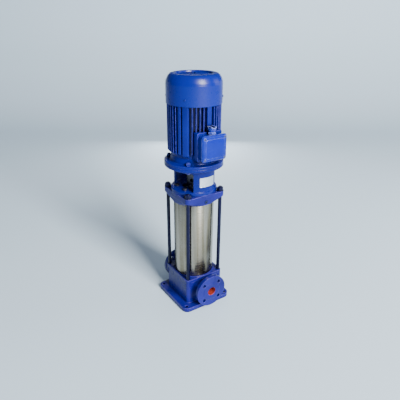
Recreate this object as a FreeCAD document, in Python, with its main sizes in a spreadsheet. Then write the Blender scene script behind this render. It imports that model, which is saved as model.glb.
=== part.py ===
import FreeCAD, Part
import os
import re
import Sketcher

doc = FreeCAD.newDocument("InlinePump")
sheet = doc.addObject("Spreadsheet::Sheet", "Sizes")

# Driving sizes in millimetres and degrees

SIZES = {
    # cast base with the two pipe flanges
    "foot_side": 250,
    "foot_thick": 20,
    "foot_corner": 28,
    "foot_hole_gap": 210,
    "foot_hole_radius": 7,
    "box_half": 91,
    "box_corner": 14,
    "casing_top": 145,
    "casing_wall": 9,
    "lip_step": 4,
    "lip_corner": 15,
    "lip_tall": 15,
    "pipe_height": 91,
    "pipe_face": 152,
    "pipe_flange_radius": 75,
    "pipe_flange_thick": 18,
    "raised_face_radius": 42,
    "raised_face": 2,
    "pipe_bore": 20,
    "pipe_neck": 34,
    "pipe_bolt_circle": 55,
    "pipe_bolt_hole": 9,
    "well_radius": 46,
    "well_drop": 39,
    "chamber_inner": 58,
    "chamber_drop": 33,
    "chamber_sweep": 150,
    "annulus_drop": 15,
    "ring_tall": 3,
    "ring_wide": 4,
    # drain plug at the back of the base
    "drain_rise": 12,
    "drain_radius": 6.5,
    "drain_thread": 16,
    "drain_collar": 10.5,
    "drain_collar_thick": 2,
    "drain_flats": 17,
    "drain_head": 8,
    # stainless outer sleeve and its flat gaskets
    "sleeve_radius": 88,
    "sleeve_wall": 2,
    "sleeve_seat": 6,
    "gasket_thick": 2,
    # small gap of a fit, wider running gap, and how far a cut runs past the metal
    "fit": 0.05,
    "clearance": 0.3,
    "past": 1,
    # tie rods at the four corners
    "rod_offset": 82,
    "rod_radius": 8,
    "rod_boss": 12.5,
    "rod_boss_skin": 8,
    "rod_depth": 33,
    "rod_hole_slack": 0.5,
    "rod_spare": 4,
    "washer_radius": 15,
    "washer_thick": 3,
    "rod_nut_flats": 24,
    "rod_nut_tall": 13,
    # head casting on top of the sleeve
    "head_lead": 5,
    "skirt_tall": 22,
    "lug_thick": 23,
    "disc_step": 2,
    "head_half": 97,
    "head_corner": 16,
    "skirt_half": 95,
    "skirt_corner": 94,
    "head_cavity": 83,
    "press_ring_inner": 60,
    "press_window_half": 20,
    "press_window_edge": 4,
    "seal_bore": 26,
    "vent_drop": 8,
    "vent_radius": 5,
    "vent_head_radius": 7,
    "vent_head_thick": 4,
    "vent_key": 6,
    "vent_sink": 0.8,
    # pumping stages
    "inlet_tall": 18,
    "stage_pitch": 66,
    "bowl_radius": 72,
    "bowl_wall": 4,
    "deck_radius": 58,
    "deck_level": 38,
    "deck_hub_wall": 6,
    "deck_hub_low": 34,
    "deck_hub_high": 50,
    "eye_radius": 24,
    "neck_wall": 3,
    "neck_drop": 3,
    "impeller_radius": 52,
    "hub_radius": 16,
    "hub_low": 2,
    "hub_high": 30,
    "front_shroud": 5,
    "back_shroud": 24,
    "shroud_thick": 3,
    "blade_thick": 3,
    "blade_sweep": 62,
    "blade_lean": 55,
    "bowl_blades": 6,
    "impeller_blades": 6,
    "spider_half": 3,
    "spider_tall": 5,
    "bush_wall": 5,
    "bush_drop": 19,
    "bush_tall": 23,
    "spacer_radius": 15,
    "shaft_radius": 11,
    "thread_radius": 8,
    "nut_flats": 24,
    "nut_tall": 13,
    "seal_shaft_radius": 12,
    "journal_drop": 21,
    "shaft_tail": 20,
    # shaft seal
    "cover_radius": 44,
    "cover_thick": 8,
    "cover_rise": 14,
    "cover_spigot": 6,
    "cover_lip": 7,
    "cover_screw_circle": 36,
    "cover_screw_radius": 3,
    "cover_screw_depth": 10,
    "cover_screw_flats": 10,
    "cover_screw_head": 4,
    "seat_tall": 8,
    "bellows_step": 4,
    # motor stool
    "stool_tall": 124,
    "stool_base_thick": 15,
    "stool_base_radius": 99,
    "stool_bore": 50,
    "stool_wall_outer": 95,
    "stool_wall": 10,
    "stool_flange_thick": 12,
    "stool_collar": 15,
    "stool_flare": 2,
    "cheek_half_angle": 34,
    "stool_bolt_circle": 72,
    "stool_bolt_radius": 5,
    "stool_bolt_depth": 18,
    "stool_bolt_flats": 16,
    "stool_bolt_head": 6.5,
    # coupling
    "coupling_radius": 30,
    "coupling_drop": 19,
    "coupling_tall": 76,
    "coupling_bevel": 2,
    "split_half": 0.5,
    "shaft_reach": 60,
    "shaft_gap": 2,
    "coupling_bolt_side": 20,
    "coupling_bolt_inset": 16,
    "coupling_bolt_radius": 4,
    "coupling_flat": 14,
    "coupling_flat_radius": 8.5,
    "coupling_nut_flats": 13,
    "coupling_nut_tall": 6.5,
    "coupling_bolt_head": 5.5,
    "key_half": 4,
    "key_length": 34,
    "key_low": 10,
    "key_high": 17,
    # motor
    "motor_flange_radius": 125,
    "motor_flange_thick": 12.5,
    "motor_bolt_circle": 107.5,
    "motor_bolt_hole": 7,
    "motor_bolt_radius": 6,
    "motor_bolt_flats": 18,
    "motor_bolt_head": 7.5,
    "motor_nut_tall": 10,
    "motor_washer_radius": 9.3,
    "motor_washer_thick": 2,
    "shank_spare": 15,
    "spigot_radius": 90,
    "spigot_tall": 4,
    "spigot_gap": 0.5,
    "collar_radius": 98,
    "collar_draft": 3,
    "collar_tall": 18.5,
    "shield_wall": 7,
    "boss_wall": 11,
    "frame_length": 225,
    "frame_inner": 85,
    "frame_root": 94,
    "fin_tip": 110,
    "fin_root_thick": 5,
    "fin_tip_thick": 3,
    "fin_start": 20,
    "band_half": 7,
    "spine_half": 10,
    "pad_half": 13,
    "pad_angle": 51,
    "pad_start": 14,
    "pad_reach": 23,
    "shield_step": 0.5,
    "shield_thick": 8,
    "shield_screw": 2.5,
    "shield_screw_depth": 12,
    "shield_head": 4.5,
    "motor_shaft_radius": 14,
    "bearing_bore": 15,
    "bearing_radius": 31,
    "bearing_width": 16,
    "bearing_ring": 5,
    "bearing_lift": 7,
    "bearing_sink": 4,
    "seal_disc": 1.5,
    "core_lift": 45,
    "core_length": 120,
    "core_slots": 24,
    "slot_depth": 18,
    "winding_tall": 27,
    "rotor_radius": 50,
    "rotor_ring": 6,
    "rotor_ring_tall": 10,
    "rotor_bore": 20,
    "air_gap": 0.5,
    # fan cowl and fan
    "cowl_radius": 113.2,
    "cowl_sheet": 1.5,
    "cowl_lap": 11,
    "cowl_straight": 65,
    "cowl_dome": 37,
    "cowl_rim": 74,
    "grille_drop": 6,
    "grille_slots": 20,
    "grille_inner": 16,
    "grille_edge": 8,
    "cowl_screw_drop": 8,
    "cowl_screw_radius": 2,
    "cowl_screw_depth": 14,
    "fan_radius": 86,
    "fan_lift": 27,
    "fan_hub": 22,
    "fan_hub_tall": 28,
    "fan_bore": 12,
    "fan_plate": 2.5,
    "fan_blades": 8,
    "fan_blade_tall": 24,
    # terminal box
    "box_gap": 2,
    "box_depth": 27,
    "box_shell": 4,
    "box_inset": 4,
    "lid_thick": 11,
    "lid_side": 58,
    "lid_lift": 8,
    "lid_tall": 104,
    "lid_bevel": 6,
    "lid_screw_inset": 11,
    "lid_screw_radius": 2.5,
    "seat_rise": 6,
    "seat_drop": 5,
    "seat_root": 32,
    "wire_passage": 15,
    "panel_inset": 14,
    "panel_step": 2,
    "gland_setback": 14,
    "gland_radius": 16.5,
    "gland_thread": 10,
    "gland_bore": 7,
    "gland_boss": 13,
    "gland_tall": 25,
    "clamp_long": 30,
    "clamp_wide": 5.5,
    "clamp_tall": 5,
    "clamp_screw_gap": 11,
    "clamp_screw": 1.8,
    "board_thick": 5,
    "board_half": 25,
    "board_tall": 32,
    "stud_gap": 17,
    "stud_radius": 2.5,
    "stud_length": 11,
    # nameplate bent to the cheek
    "plate_angle": 22,
    "plate_turn": 4,
    "plate_lift": 22,
    "plate_tall": 41,
    "plate_thick": 0.8,
    "rivet_inset": 4,
    "rivet_radius": 2,
    "rivet_tall": 1,
}

# Levels and faces that follow from the sizes, heights measured up from the floor

LEVELS = {
    "lip_half": "box_half + lip_step",
    "chamber_outer": "box_half - casing_wall",
    "well_floor": "pipe_height - well_drop",
    "chamber_floor": "pipe_height - chamber_drop",
    "annulus_floor": "casing_top - annulus_drop",
    "drain_height": "well_floor + drain_rise",
    "stage_base": "casing_top + inlet_tall",
    "stack_top": "stage_base + stage_pitch * 5",
    "head_bottom": "stack_top + head_lead",
    "head_plate": "head_bottom + skirt_tall",
    "lug_top": "head_plate + lug_thick",
    "head_top": "lug_top + disc_step",
    "vent_height": "head_plate - vent_drop",
    "vent_seat": "skirt_half - vent_sink",
    "journal_bottom": "casing_top - journal_drop",
    "shaft_bottom": "journal_bottom - shaft_tail",
    "shaft_shoulder": "stack_top + 2",
    "stool_base_top": "head_top + stool_base_thick",
    "stool_top": "head_top + stool_tall",
    "window_top": "stool_top - stool_flange_thick - stool_collar",
    "plate_bottom": "stool_base_top + plate_lift",
    "plate_top": "plate_bottom + plate_tall",
    "coupling_top": "stool_top - coupling_drop",
    "coupling_bottom": "coupling_top - coupling_tall",
    "shaft_end": "stool_top - shaft_reach",
    "frame_bottom": "stool_top + motor_flange_thick + collar_tall",
    "frame_top": "frame_bottom + frame_length",
    "pad_top": "frame_top + pad_reach",
    "screw_circle": "(frame_inner + frame_root) / 2 + 0.5",
    "bearing_low": "stool_top + bearing_lift",
    "bearing_high": "frame_top - bearing_sink",
    "core_bottom": "frame_bottom + core_lift",
    "core_top": "core_bottom + core_length",
    "cowl_bottom": "frame_top - cowl_lap",
    "cowl_shoulder": "frame_top + cowl_straight",
    "cowl_top": "cowl_shoulder + cowl_dome",
    "cowl_screw_height": "pad_top - cowl_screw_drop",
    "fan_bottom": "frame_top + fan_lift",
    "box_face": "fin_tip + box_gap",
    "lid_seat": "box_face + box_depth",
    "lid_face": "lid_seat + lid_thick",
    "lid_bottom": "frame_bottom + lid_lift",
    "lid_top": "lid_bottom + lid_tall",
    "box_middle": "(lid_bottom + lid_top) / 2",
    "box_top": "lid_top - 3",
    "gland_x": "box_face + gland_setback",
    "gland_seat": "lid_top + past",
    "clamp_height": "gland_seat + gland_tall",
}

MATHS = ("cos", "sin", "sqrt")


def fill_sheet():
    entries = list(SIZES.items()) + [(word, "=" + formula) for word, formula in LEVELS.items()]
    for row, (word, content) in enumerate(entries, 1):
        sheet.set(f"A{row}", word)
        sheet.set(f"B{row}", str(content))
        sheet.setAlias(f"B{row}", word)
    doc.recompute()


def link(text):
    """Turn the plain words of a formula into references to the sheet."""
    def one(found):
        word = found.group(0)
        return word if word in MATHS else "Sizes." + word
    return re.sub(r"[a-z][a-z_]*", one, str(text))


def number(text):
    return float(sheet.evalExpression(link(text)))


# Sketches and features of the cast and turned pieces


def new_body(name):
    body = doc.addObject("PartDesign::Body", name)
    body.Label = name
    return body


def plane_of(body, role):
    for feature in body.Origin.OriginFeatures:
        if feature.Role == role:
            return feature


def new_sketch(body, role="XZ_Plane", lift="0", turn=""):
    """Sketch on an origin plane of the body, lifted off it or turned about the pump axis."""
    sketch = body.newObject("Sketcher::SketchObject", body.Name + "_sketch")
    sketch.AttachmentSupport = (plane_of(body, role), [""])
    sketch.MapMode = "FlatFace"
    if lift != "0":
        sketch.setExpression("AttachmentOffset.Base.z", link(lift))
    if turn:
        sketch.AttachmentOffset = FreeCAD.Placement(FreeCAD.Vector(), FreeCAD.Rotation(FreeCAD.Vector(0, 1, 0), 1))
        sketch.setExpression("AttachmentOffset.Rotation.Angle", link(turn))
    return sketch


def hold(sketch, wanted):
    """Add distance constraints and drive each one by its formula."""
    rules = []
    for kind, element, vertex, text in wanted:
        if kind == "Radius":
            rules.append(Sketcher.Constraint(kind, element, number(text)))
        else:
            rules.append(Sketcher.Constraint(kind, -1, 1, element, vertex, number(text)))
    first = sketch.ConstraintCount
    sketch.addConstraint(rules)
    for place, (kind, element, vertex, text) in enumerate(wanted):
        sketch.setExpression(f"Constraints[{first + place}]", link(text))


def draw_polygon(sketch, points):
    first = sketch.GeometryCount
    spots = [FreeCAD.Vector(number(x), number(y), 0) for x, y in points]
    count = len(spots)
    sides = [Part.LineSegment(spots[i], spots[(i + 1) % count]) for i in range(count)]
    sketch.addGeometry(sides, False)
    corners = []
    for i in range(count):
        corners.append(Sketcher.Constraint("Coincident", first + i, 2, first + (i + 1) % count, 1))
    sketch.addConstraint(corners)
    wanted = []
    for i, (x, y) in enumerate(points):
        wanted.append(("DistanceX", first + i, 1, x))
        wanted.append(("DistanceY", first + i, 1, y))
    hold(sketch, wanted)
    return sketch


def draw_circle(sketch, x, y, radius):
    element = sketch.GeometryCount
    centre = FreeCAD.Vector(number(x), number(y), 0)
    sketch.addGeometry(Part.Circle(centre, FreeCAD.Vector(0, 0, 1), number(radius)), False)
    hold(sketch, [("Radius", element, 0, radius), ("DistanceX", element, 3, x), ("DistanceY", element, 3, y)])
    return sketch


def draw_rounded(sketch, left, right, low, high, radius):
    """Rectangle with four round corners, each arc held by its centre and ends."""
    r = f"({radius})"
    centres = [(f"{right} - {r}", f"{low} + {r}"), (f"{right} - {r}", f"{high} - {r}"),
               (f"{left} + {r}", f"{high} - {r}"), (f"{left} + {r}", f"{low} + {r}")]
    first = sketch.GeometryCount
    arcs = []
    for turn, (x, y) in enumerate(centres):
        ring = Part.Circle(FreeCAD.Vector(number(x), number(y), 0), FreeCAD.Vector(0, 0, 1), number(radius))
        start = (turn - 1) * 1.5707963267948966
        arcs.append(Part.ArcOfCircle(ring, start, start + 1.5707963267948966))
    sketch.addGeometry(arcs, False)
    sides = []
    for turn in range(4):
        tail = arcs[turn].EndPoint
        head = arcs[(turn + 1) % 4].StartPoint
        sides.append(Part.LineSegment(tail, head))
    sketch.addGeometry(sides, False)
    joins = []
    for turn in range(4):
        joins.append(Sketcher.Constraint("Coincident", first + turn, 2, first + 4 + turn, 1))
        joins.append(Sketcher.Constraint("Coincident", first + 4 + turn, 2, first + (turn + 1) % 4, 1))
    sketch.addConstraint(joins)
    starts = [(centres[0][0], low), (right, centres[1][1]), (centres[2][0], high), (left, centres[3][1])]
    ends = [("DistanceY", centres[0][1]), ("DistanceX", centres[1][0]),
            ("DistanceY", centres[2][1]), ("DistanceX", centres[3][0])]
    wanted = []
    for turn in range(4):
        wanted.append(("DistanceX", first + turn, 3, centres[turn][0]))
        wanted.append(("DistanceY", first + turn, 3, centres[turn][1]))
        wanted.append(("DistanceX", first + turn, 1, starts[turn][0]))
        wanted.append(("DistanceY", first + turn, 1, starts[turn][1]))
        wanted.append((ends[turn][0], first + turn, 2, ends[turn][1]))
    hold(sketch, wanted)
    return sketch


def draw_blade(sketch, inner, outer, hand="", steps=4):
    """Curved vane: a strip whose centre line turns as it goes out, to either hand."""
    near = []
    far = []
    for step in range(steps + 1):
        part = step / steps
        radius = f"({inner} + ({outer} - {inner}) * {part})"
        angle = f"({hand}blade_sweep * {part})"
        heading = f"({hand}(blade_sweep * {part} + blade_lean))"
        near.append((f"{radius} * cos({angle}) + blade_thick / 2 * sin({heading})",
                     f"{radius} * sin({angle}) - blade_thick / 2 * cos({heading})"))
        far.append((f"{radius} * cos({angle}) - blade_thick / 2 * sin({heading})",
                    f"{radius} * sin({angle}) + blade_thick / 2 * cos({heading})"))
    return draw_polygon(sketch, near + far[::-1])


def pad(body, sketch, length, both=False):
    feature = body.newObject("PartDesign::Pad", body.Name + "_pad")
    feature.Profile = sketch
    feature.setExpression("Length", link(length))
    feature.Midplane = both
    body.Tip = feature
    return feature


def pocket(body, sketch, length, both=False, forward=False):
    """Cut against the sketch normal, or along it when forward is set."""
    feature = body.newObject("PartDesign::Pocket", body.Name + "_pocket")
    feature.Profile = sketch
    feature.setExpression("Length", link(length))
    feature.Midplane = both
    feature.Reversed = forward
    body.Tip = feature
    return feature


def revolve(body, points, cut=False, sweep="", turn=""):
    """Turn a closed section about the pump axis, adding or cutting, all round or over a sweep."""
    sketch = draw_polygon(new_sketch(body, turn=turn), points)
    kind = "Groove" if cut else "Revolution"
    feature = body.newObject("PartDesign::" + kind, body.Name + "_" + kind.lower())
    feature.Profile = sketch
    feature.ReferenceAxis = (sketch, ["V_Axis"])
    feature.Angle = 360
    if sweep:
        feature.Midplane = True
        feature.setExpression("Angle", link(sweep))
    body.Tip = feature
    return feature


def repeat(body, feature, count, role="Z_Axis"):
    pattern = body.newObject("PartDesign::PolarPattern", body.Name + "_pattern")
    pattern.Originals = [feature]
    pattern.Axis = (plane_of(body, role), [""])
    pattern.Angle = 360
    if isinstance(count, str):
        pattern.setExpression("Occurrences", link(count))
    else:
        pattern.Occurrences = count
    body.Tip = pattern
    return pattern


def soften(body, base, test, size, kind="Fillet"):
    """Round or bevel every edge whose middle passes the test."""
    doc.recompute()
    picked = []
    for place, edge in enumerate(base.Shape.Edges, 1):
        middle = edge.valueAt((edge.FirstParameter + edge.LastParameter) / 2)
        if test(edge, middle):
            picked.append(f"Edge{place}")
    feature = body.newObject("PartDesign::" + kind, body.Name + "_" + kind.lower())
    feature.Base = (base, picked)
    if kind == "Fillet":
        feature.setExpression("Radius", link(size))
    else:
        feature.setExpression("Size", link(size))
    body.Tip = feature
    return feature


# Plain solids for fasteners and rings


def outward(angle):
    """Turn that lays a primitive's axis level, pointing out at this angle."""
    turn = FreeCAD.Rotation(FreeCAD.Vector(0, 0, 1), angle) * FreeCAD.Rotation(FreeCAD.Vector(0, 1, 0), 90)
    return turn.Axis, turn.Angle * 57.29577951308232


def place(item, x, y, z, turn=None):
    """Put a primitive at formula coordinates, with an optional fixed turn."""
    if turn:
        item.Placement = FreeCAD.Placement(FreeCAD.Vector(), FreeCAD.Rotation(FreeCAD.Vector(*turn[0]), turn[1]))
    for axis, text in (("x", x), ("y", y), ("z", z)):
        item.setExpression("Placement.Base." + axis, link(text))
    return item


def cylinder(radius, height, x="0", y="0", z="0", turn=None):
    item = doc.addObject("Part::Cylinder", "rod")
    item.setExpression("Radius", link(radius))
    item.setExpression("Height", link(height))
    return place(item, x, y, z, turn)


def hexagon(flats, height, x="0", y="0", z="0", turn=None):
    item = doc.addObject("Part::Prism", "hexagon")
    item.Polygon = 6
    item.setExpression("Circumradius", link(f"({flats}) / sqrt(3)"))
    item.setExpression("Height", link(height))
    return place(item, x, y, z, turn)


def block(length, width, height, x="0", y="0", z="0", turn=None):
    item = doc.addObject("Part::Box", "block")
    item.setExpression("Length", link(length))
    item.setExpression("Width", link(width))
    item.setExpression("Height", link(height))
    return place(item, x, y, z, turn)


def cone(low, high, height, x="0", y="0", z="0", turn=None):
    item = doc.addObject("Part::Cone", "cone")
    item.setExpression("Radius1", link(low))
    item.setExpression("Radius2", link(high))
    item.setExpression("Height", link(height))
    return place(item, x, y, z, turn)


def cut(base, tool, name="cut"):
    item = doc.addObject("Part::Cut", name)
    item.Base = base
    item.Tool = tool
    item.Label = name
    return item


def fuse(parts, name="fused"):
    item = doc.addObject("Part::MultiFuse", name)
    item.Shapes = parts
    item.Label = name
    return item


def gather(parts, name):
    item = doc.addObject("Part::Compound", name)
    item.Links = parts
    item.Label = name
    return item


def tube(outer, inner, height, z, x="0", y="0", name="tube"):
    return cut(cylinder(outer, height, x, y, z), cylinder(inner, height, x, y, z), name)


def corners(offset):
    """The four corner positions of a square pattern."""
    return [(f"{a} * {offset}", f"{b} * {offset}") for a in (1, -1) for b in (1, -1)]


def around(radius, angles):
    return [(f"({radius}) * cos({angle})", f"({radius}) * sin({angle})") for angle in angles]


DIAGONALS = (45, 135, 225, 315)
QUARTERS = (0, 90, 180, 270)
STOOL_SCREWS = (65, 115, 245, 295)
UP_X = ((0, 1, 0), 90)
UP_Y = ((1, 0, 0), -90)
FLAT_TO_X = ((0, 0, 1), 30)


# Base casing: foot, square box, two pipe flanges in line, inner passages


def base_casing():
    body = new_body("base_casing")
    foot = new_sketch(body, "XY_Plane")
    draw_rounded(foot, "-foot_side / 2", "foot_side / 2", "-foot_side / 2", "foot_side / 2", "foot_corner")
    pad(body, foot, "foot_thick")
    box = new_sketch(body, "XY_Plane")
    draw_rounded(box, "-box_half", "box_half", "-box_half", "box_half", "box_corner")
    pad(body, box, "casing_top")
    lip = new_sketch(body, "XY_Plane", "casing_top - lip_tall")
    draw_rounded(lip, "-lip_half", "lip_half", "-lip_half", "lip_half", "lip_corner")
    pad(body, lip, "lip_tall")
    bosses = new_sketch(body, "XY_Plane", "casing_top - rod_depth - rod_boss_skin")
    for x, y in corners("rod_offset"):
        draw_circle(bosses, x, y, "rod_boss")
    pad(body, bosses, "rod_depth + rod_boss_skin")
    seat_ring = new_sketch(body, "XY_Plane", "casing_top - past")
    draw_circle(seat_ring, "0", "0", "sleeve_radius + ring_wide")
    pad(body, seat_ring, "ring_tall + past")
    neck = new_sketch(body, "YZ_Plane")
    draw_circle(neck, "0", "pipe_height", "pipe_neck")
    pad(body, neck, "2 * (pipe_face - raised_face - pipe_flange_thick / 2)", both=True)
    add_pipe_flanges(body)
    hollow_casing(body)
    drill_casing(body)
    return body


def add_pipe_flanges(body):
    for side in ("", "-"):
        back = f"{side}(pipe_face - raised_face - pipe_flange_thick)"
        flange = new_sketch(body, "YZ_Plane", back)
        draw_circle(flange, "0", "pipe_height", "pipe_flange_radius")
        step = pad(body, flange, "pipe_flange_thick")
        step.Reversed = side == "-"
        face = new_sketch(body, "YZ_Plane", f"{side}(pipe_face - raised_face - past)")
        draw_circle(face, "0", "pipe_height", "raised_face_radius")
        step = pad(body, face, "raised_face + past")
        step.Reversed = side == "-"


def hollow_casing(body):
    ring = "casing_top + ring_tall + past"
    seat = "casing_top - sleeve_seat - gasket_thick"
    well = new_sketch(body, "XY_Plane", "casing_top + ring_tall")
    draw_circle(well, "0", "0", "well_radius")
    pocket(body, well, "casing_top + ring_tall - well_floor")
    revolve(body, [("chamber_inner", "annulus_floor"), ("chamber_outer + past", "annulus_floor"),
                   ("chamber_outer + past", seat), ("sleeve_radius + fit", seat),
                   ("sleeve_radius + fit", ring), ("chamber_inner", ring)], cut=True)
    top_face = [("well_radius - past", "casing_top"), ("chamber_inner + past", "casing_top"),
                ("chamber_inner + past", ring), ("well_radius - past", ring)]
    revolve(body, top_face, cut=True)
    revolve(body, [("chamber_inner", "chamber_floor"), ("chamber_outer", "chamber_floor"),
                   ("chamber_outer", "annulus_floor + past"), ("chamber_inner", "annulus_floor + past")],
            cut=True, sweep="chamber_sweep")
    outlet = new_sketch(body, "YZ_Plane", "pipe_face")
    draw_circle(outlet, "0", "pipe_height", "pipe_bore")
    pocket(body, outlet, "pipe_face - (chamber_inner + chamber_outer) / 2 + past")
    inlet = new_sketch(body, "YZ_Plane", "-pipe_face")
    draw_circle(inlet, "0", "pipe_height", "pipe_bore")
    pocket(body, inlet, "pipe_face - well_radius + pipe_bore / 2", forward=True)


def drill_casing(body):
    feet = new_sketch(body, "XY_Plane", "foot_thick")
    for x, y in corners("foot_hole_gap / 2"):
        draw_circle(feet, x, y, "foot_hole_radius")
    pocket(body, feet, "foot_thick")
    rods = new_sketch(body, "XY_Plane", "casing_top")
    for x, y in corners("rod_offset"):
        draw_circle(rods, x, y, "rod_radius + fit")
    pocket(body, rods, "rod_depth")
    for side in ("", "-"):
        holes = new_sketch(body, "YZ_Plane", f"{side}(pipe_face - raised_face)")
        for y, z in around("pipe_bolt_circle", DIAGONALS):
            draw_circle(holes, y, f"pipe_height + {z}", "pipe_bolt_hole")
        pocket(body, holes, "pipe_flange_thick", forward=side == "-")
    drain = new_sketch(body, "XZ_Plane", "-box_half")
    draw_circle(drain, "0", "drain_height", "drain_radius + fit")
    pocket(body, drain, "box_half - well_radius + 4 * past", forward=True)


def drain_plug():
    thread = cylinder("drain_radius", "drain_thread", "0", "box_half - drain_thread", "drain_height", UP_Y)
    collar = cylinder("drain_collar", "drain_collar_thick", "0", "box_half", "drain_height", UP_Y)
    head = hexagon("drain_flats", "drain_head", "0", "box_half + drain_collar_thick", "drain_height", UP_Y)
    return fuse([thread, collar, head], "drain_plug")


# Sleeve, gaskets and tie rods that clamp the stack


def outer_sleeve():
    low = "casing_top - sleeve_seat"
    tall = "head_bottom - casing_top + 2 * sleeve_seat"
    return tube("sleeve_radius", "sleeve_radius - sleeve_wall", tall, low, name="outer_sleeve")


def sleeve_gaskets():
    rings = []
    for low in ("casing_top - sleeve_seat - gasket_thick", "head_bottom + sleeve_seat"):
        rings.append(tube("sleeve_radius", "sleeve_radius - sleeve_wall - past", "gasket_thick", low))
    return gather(rings, "sleeve_gaskets")


def tie_rods():
    low = "casing_top - rod_depth + past"
    tall = f"lug_top + washer_thick + rod_nut_tall + rod_spare - ({low})"
    rods = [cylinder("rod_radius", tall, x, y, low) for x, y in corners("rod_offset")]
    return gather(rods, "tie_rods")


def tie_rod_washers():
    rings = []
    for x, y in corners("rod_offset"):
        rings.append(tube("washer_radius", "rod_radius + rod_hole_slack", "washer_thick", "lug_top", x, y))
    return gather(rings, "tie_rod_washers")


def tie_rod_nuts():
    nuts = []
    low = "lug_top + washer_thick"
    for x, y in corners("rod_offset"):
        nut = hexagon("rod_nut_flats", "rod_nut_tall", x, y, low)
        nuts.append(cut(nut, cylinder("rod_radius + fit", "rod_nut_tall", x, y, low)))
    return gather(nuts, "tie_rod_nuts")


# Head casting: lofted skirt, lug plate, flow ring pressing on the last bowl


def upper_head():
    body = new_body("upper_head")
    low = new_sketch(body, "XY_Plane", "head_bottom")
    draw_rounded(low, "-skirt_half", "skirt_half", "-skirt_half", "skirt_half", "skirt_corner")
    high = new_sketch(body, "XY_Plane", "head_plate")
    edge = "(head_half - past)"
    draw_rounded(high, "-" + edge, edge, "-" + edge, edge, "head_corner")
    skirt = body.newObject("PartDesign::AdditiveLoft", "head_skirt")
    skirt.Profile = low
    skirt.Sections = [high]
    skirt.Ruled = True
    plate = new_sketch(body, "XY_Plane", "head_plate")
    draw_rounded(plate, "-head_half", "head_half", "-head_half", "head_half", "head_corner")
    pad(body, plate, "lug_top - head_plate")
    disc = new_sketch(body, "XY_Plane", "lug_top - past")
    draw_circle(disc, "0", "0", "stool_base_radius")
    pad(body, disc, "disc_step + past")
    low_cut = "head_bottom - past"
    seat = "head_bottom + sleeve_seat + gasket_thick"
    revolve(body, [("0", low_cut), ("sleeve_radius + fit", low_cut), ("sleeve_radius + fit", seat),
                   ("head_cavity", seat), ("head_cavity", "head_plate"), ("0", "head_plate")], cut=True)
    revolve(body, [("press_ring_inner", "stack_top"), ("bowl_radius", "stack_top"),
                   ("bowl_radius", "head_plate + past"), ("press_ring_inner", "head_plate + past")])
    sill = "stack_top + press_window_edge"
    lintel = "head_plate - press_window_edge"
    for role in ("YZ_Plane", "XZ_Plane"):
        window = new_sketch(body, role)
        draw_polygon(window, [("-press_window_half", sill), ("press_window_half", sill),
                              ("press_window_half", lintel), ("-press_window_half", lintel)])
        pocket(body, window, "2 * (bowl_radius + 4 * past)", both=True)
    drill_head(body)
    return body


def drill_head(body):
    bore = new_sketch(body, "XY_Plane", "head_top")
    draw_circle(bore, "0", "0", "seal_bore")
    pocket(body, bore, "head_top - head_plate + past")
    rods = new_sketch(body, "XY_Plane", "head_top")
    for x, y in corners("rod_offset"):
        draw_circle(rods, x, y, "rod_radius + rod_hole_slack")
    pocket(body, rods, "head_top - head_bottom + past")
    tapped = new_sketch(body, "XY_Plane", "head_top")
    for x, y in around("stool_bolt_circle", STOOL_SCREWS):
        draw_circle(tapped, x, y, "stool_bolt_radius + fit")
    pocket(body, tapped, "stool_bolt_depth + 2 * past")
    small = new_sketch(body, "XY_Plane", "head_top")
    for x, y in around("cover_screw_circle", DIAGONALS):
        draw_circle(small, x, y, "cover_screw_radius + fit")
    pocket(body, small, "cover_screw_depth + 4 * past")
    vent = new_sketch(body, "YZ_Plane", "head_half + past")
    draw_circle(vent, "0", "vent_height", "vent_radius + fit")
    pocket(body, vent, "head_half - head_cavity + 3 * past")
    spot_face = new_sketch(body, "YZ_Plane", "head_half + past")
    draw_circle(spot_face, "0", "vent_height", "vent_head_radius + vent_sink")
    pocket(body, spot_face, "head_half + past - vent_seat")


def vent_plug():
    start = "head_cavity + past"
    thread = cylinder("vent_radius", "vent_seat - head_cavity", start, "0", "vent_height", UP_X)
    head = cylinder("vent_head_radius", "vent_head_thick", "vent_seat", "0", "vent_height", UP_X)
    socket = hexagon("vent_key", "vent_head_thick", "vent_seat + past", "0", "vent_height", UP_X)
    return cut(fuse([thread, head]), socket, "vent_plug")


# Pumping stages


def inlet_bowl():
    body = new_body("inlet_bowl")
    low = "casing_top"
    top = "stage_base"
    under = "stage_base - bowl_wall"
    eye = "eye_radius + neck_wall + clearance"
    inner = "well_radius - 2 * past"
    revolve(body, [(inner, low), ("bowl_radius", low), ("bowl_radius", top), (eye, top), (eye, under), (inner, under)])
    web = new_sketch(body, "XY_Plane", low)
    start = "spacer_radius + bush_wall + 2 * past"
    draw_polygon(web, [(start, "-spider_half"), ("well_radius", "-spider_half"),
                       ("well_radius", "spider_half"), (start, "spider_half")])
    repeat(body, pad(body, web, "spider_tall"), 4)
    bore = "spacer_radius + bush_wall + fit"
    holder = "spacer_radius + bush_wall * 2"
    foot = low + " - bush_drop - past"
    crown = low + " + spider_tall"
    revolve(body, [(bore, foot), (holder, foot), (holder, crown), (bore, crown)])
    return body


def lower_bush():
    outer = "spacer_radius + bush_wall"
    return tube(outer, "spacer_radius + fit", "bush_tall", "casing_top - bush_drop", name="lower_bush")


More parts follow.
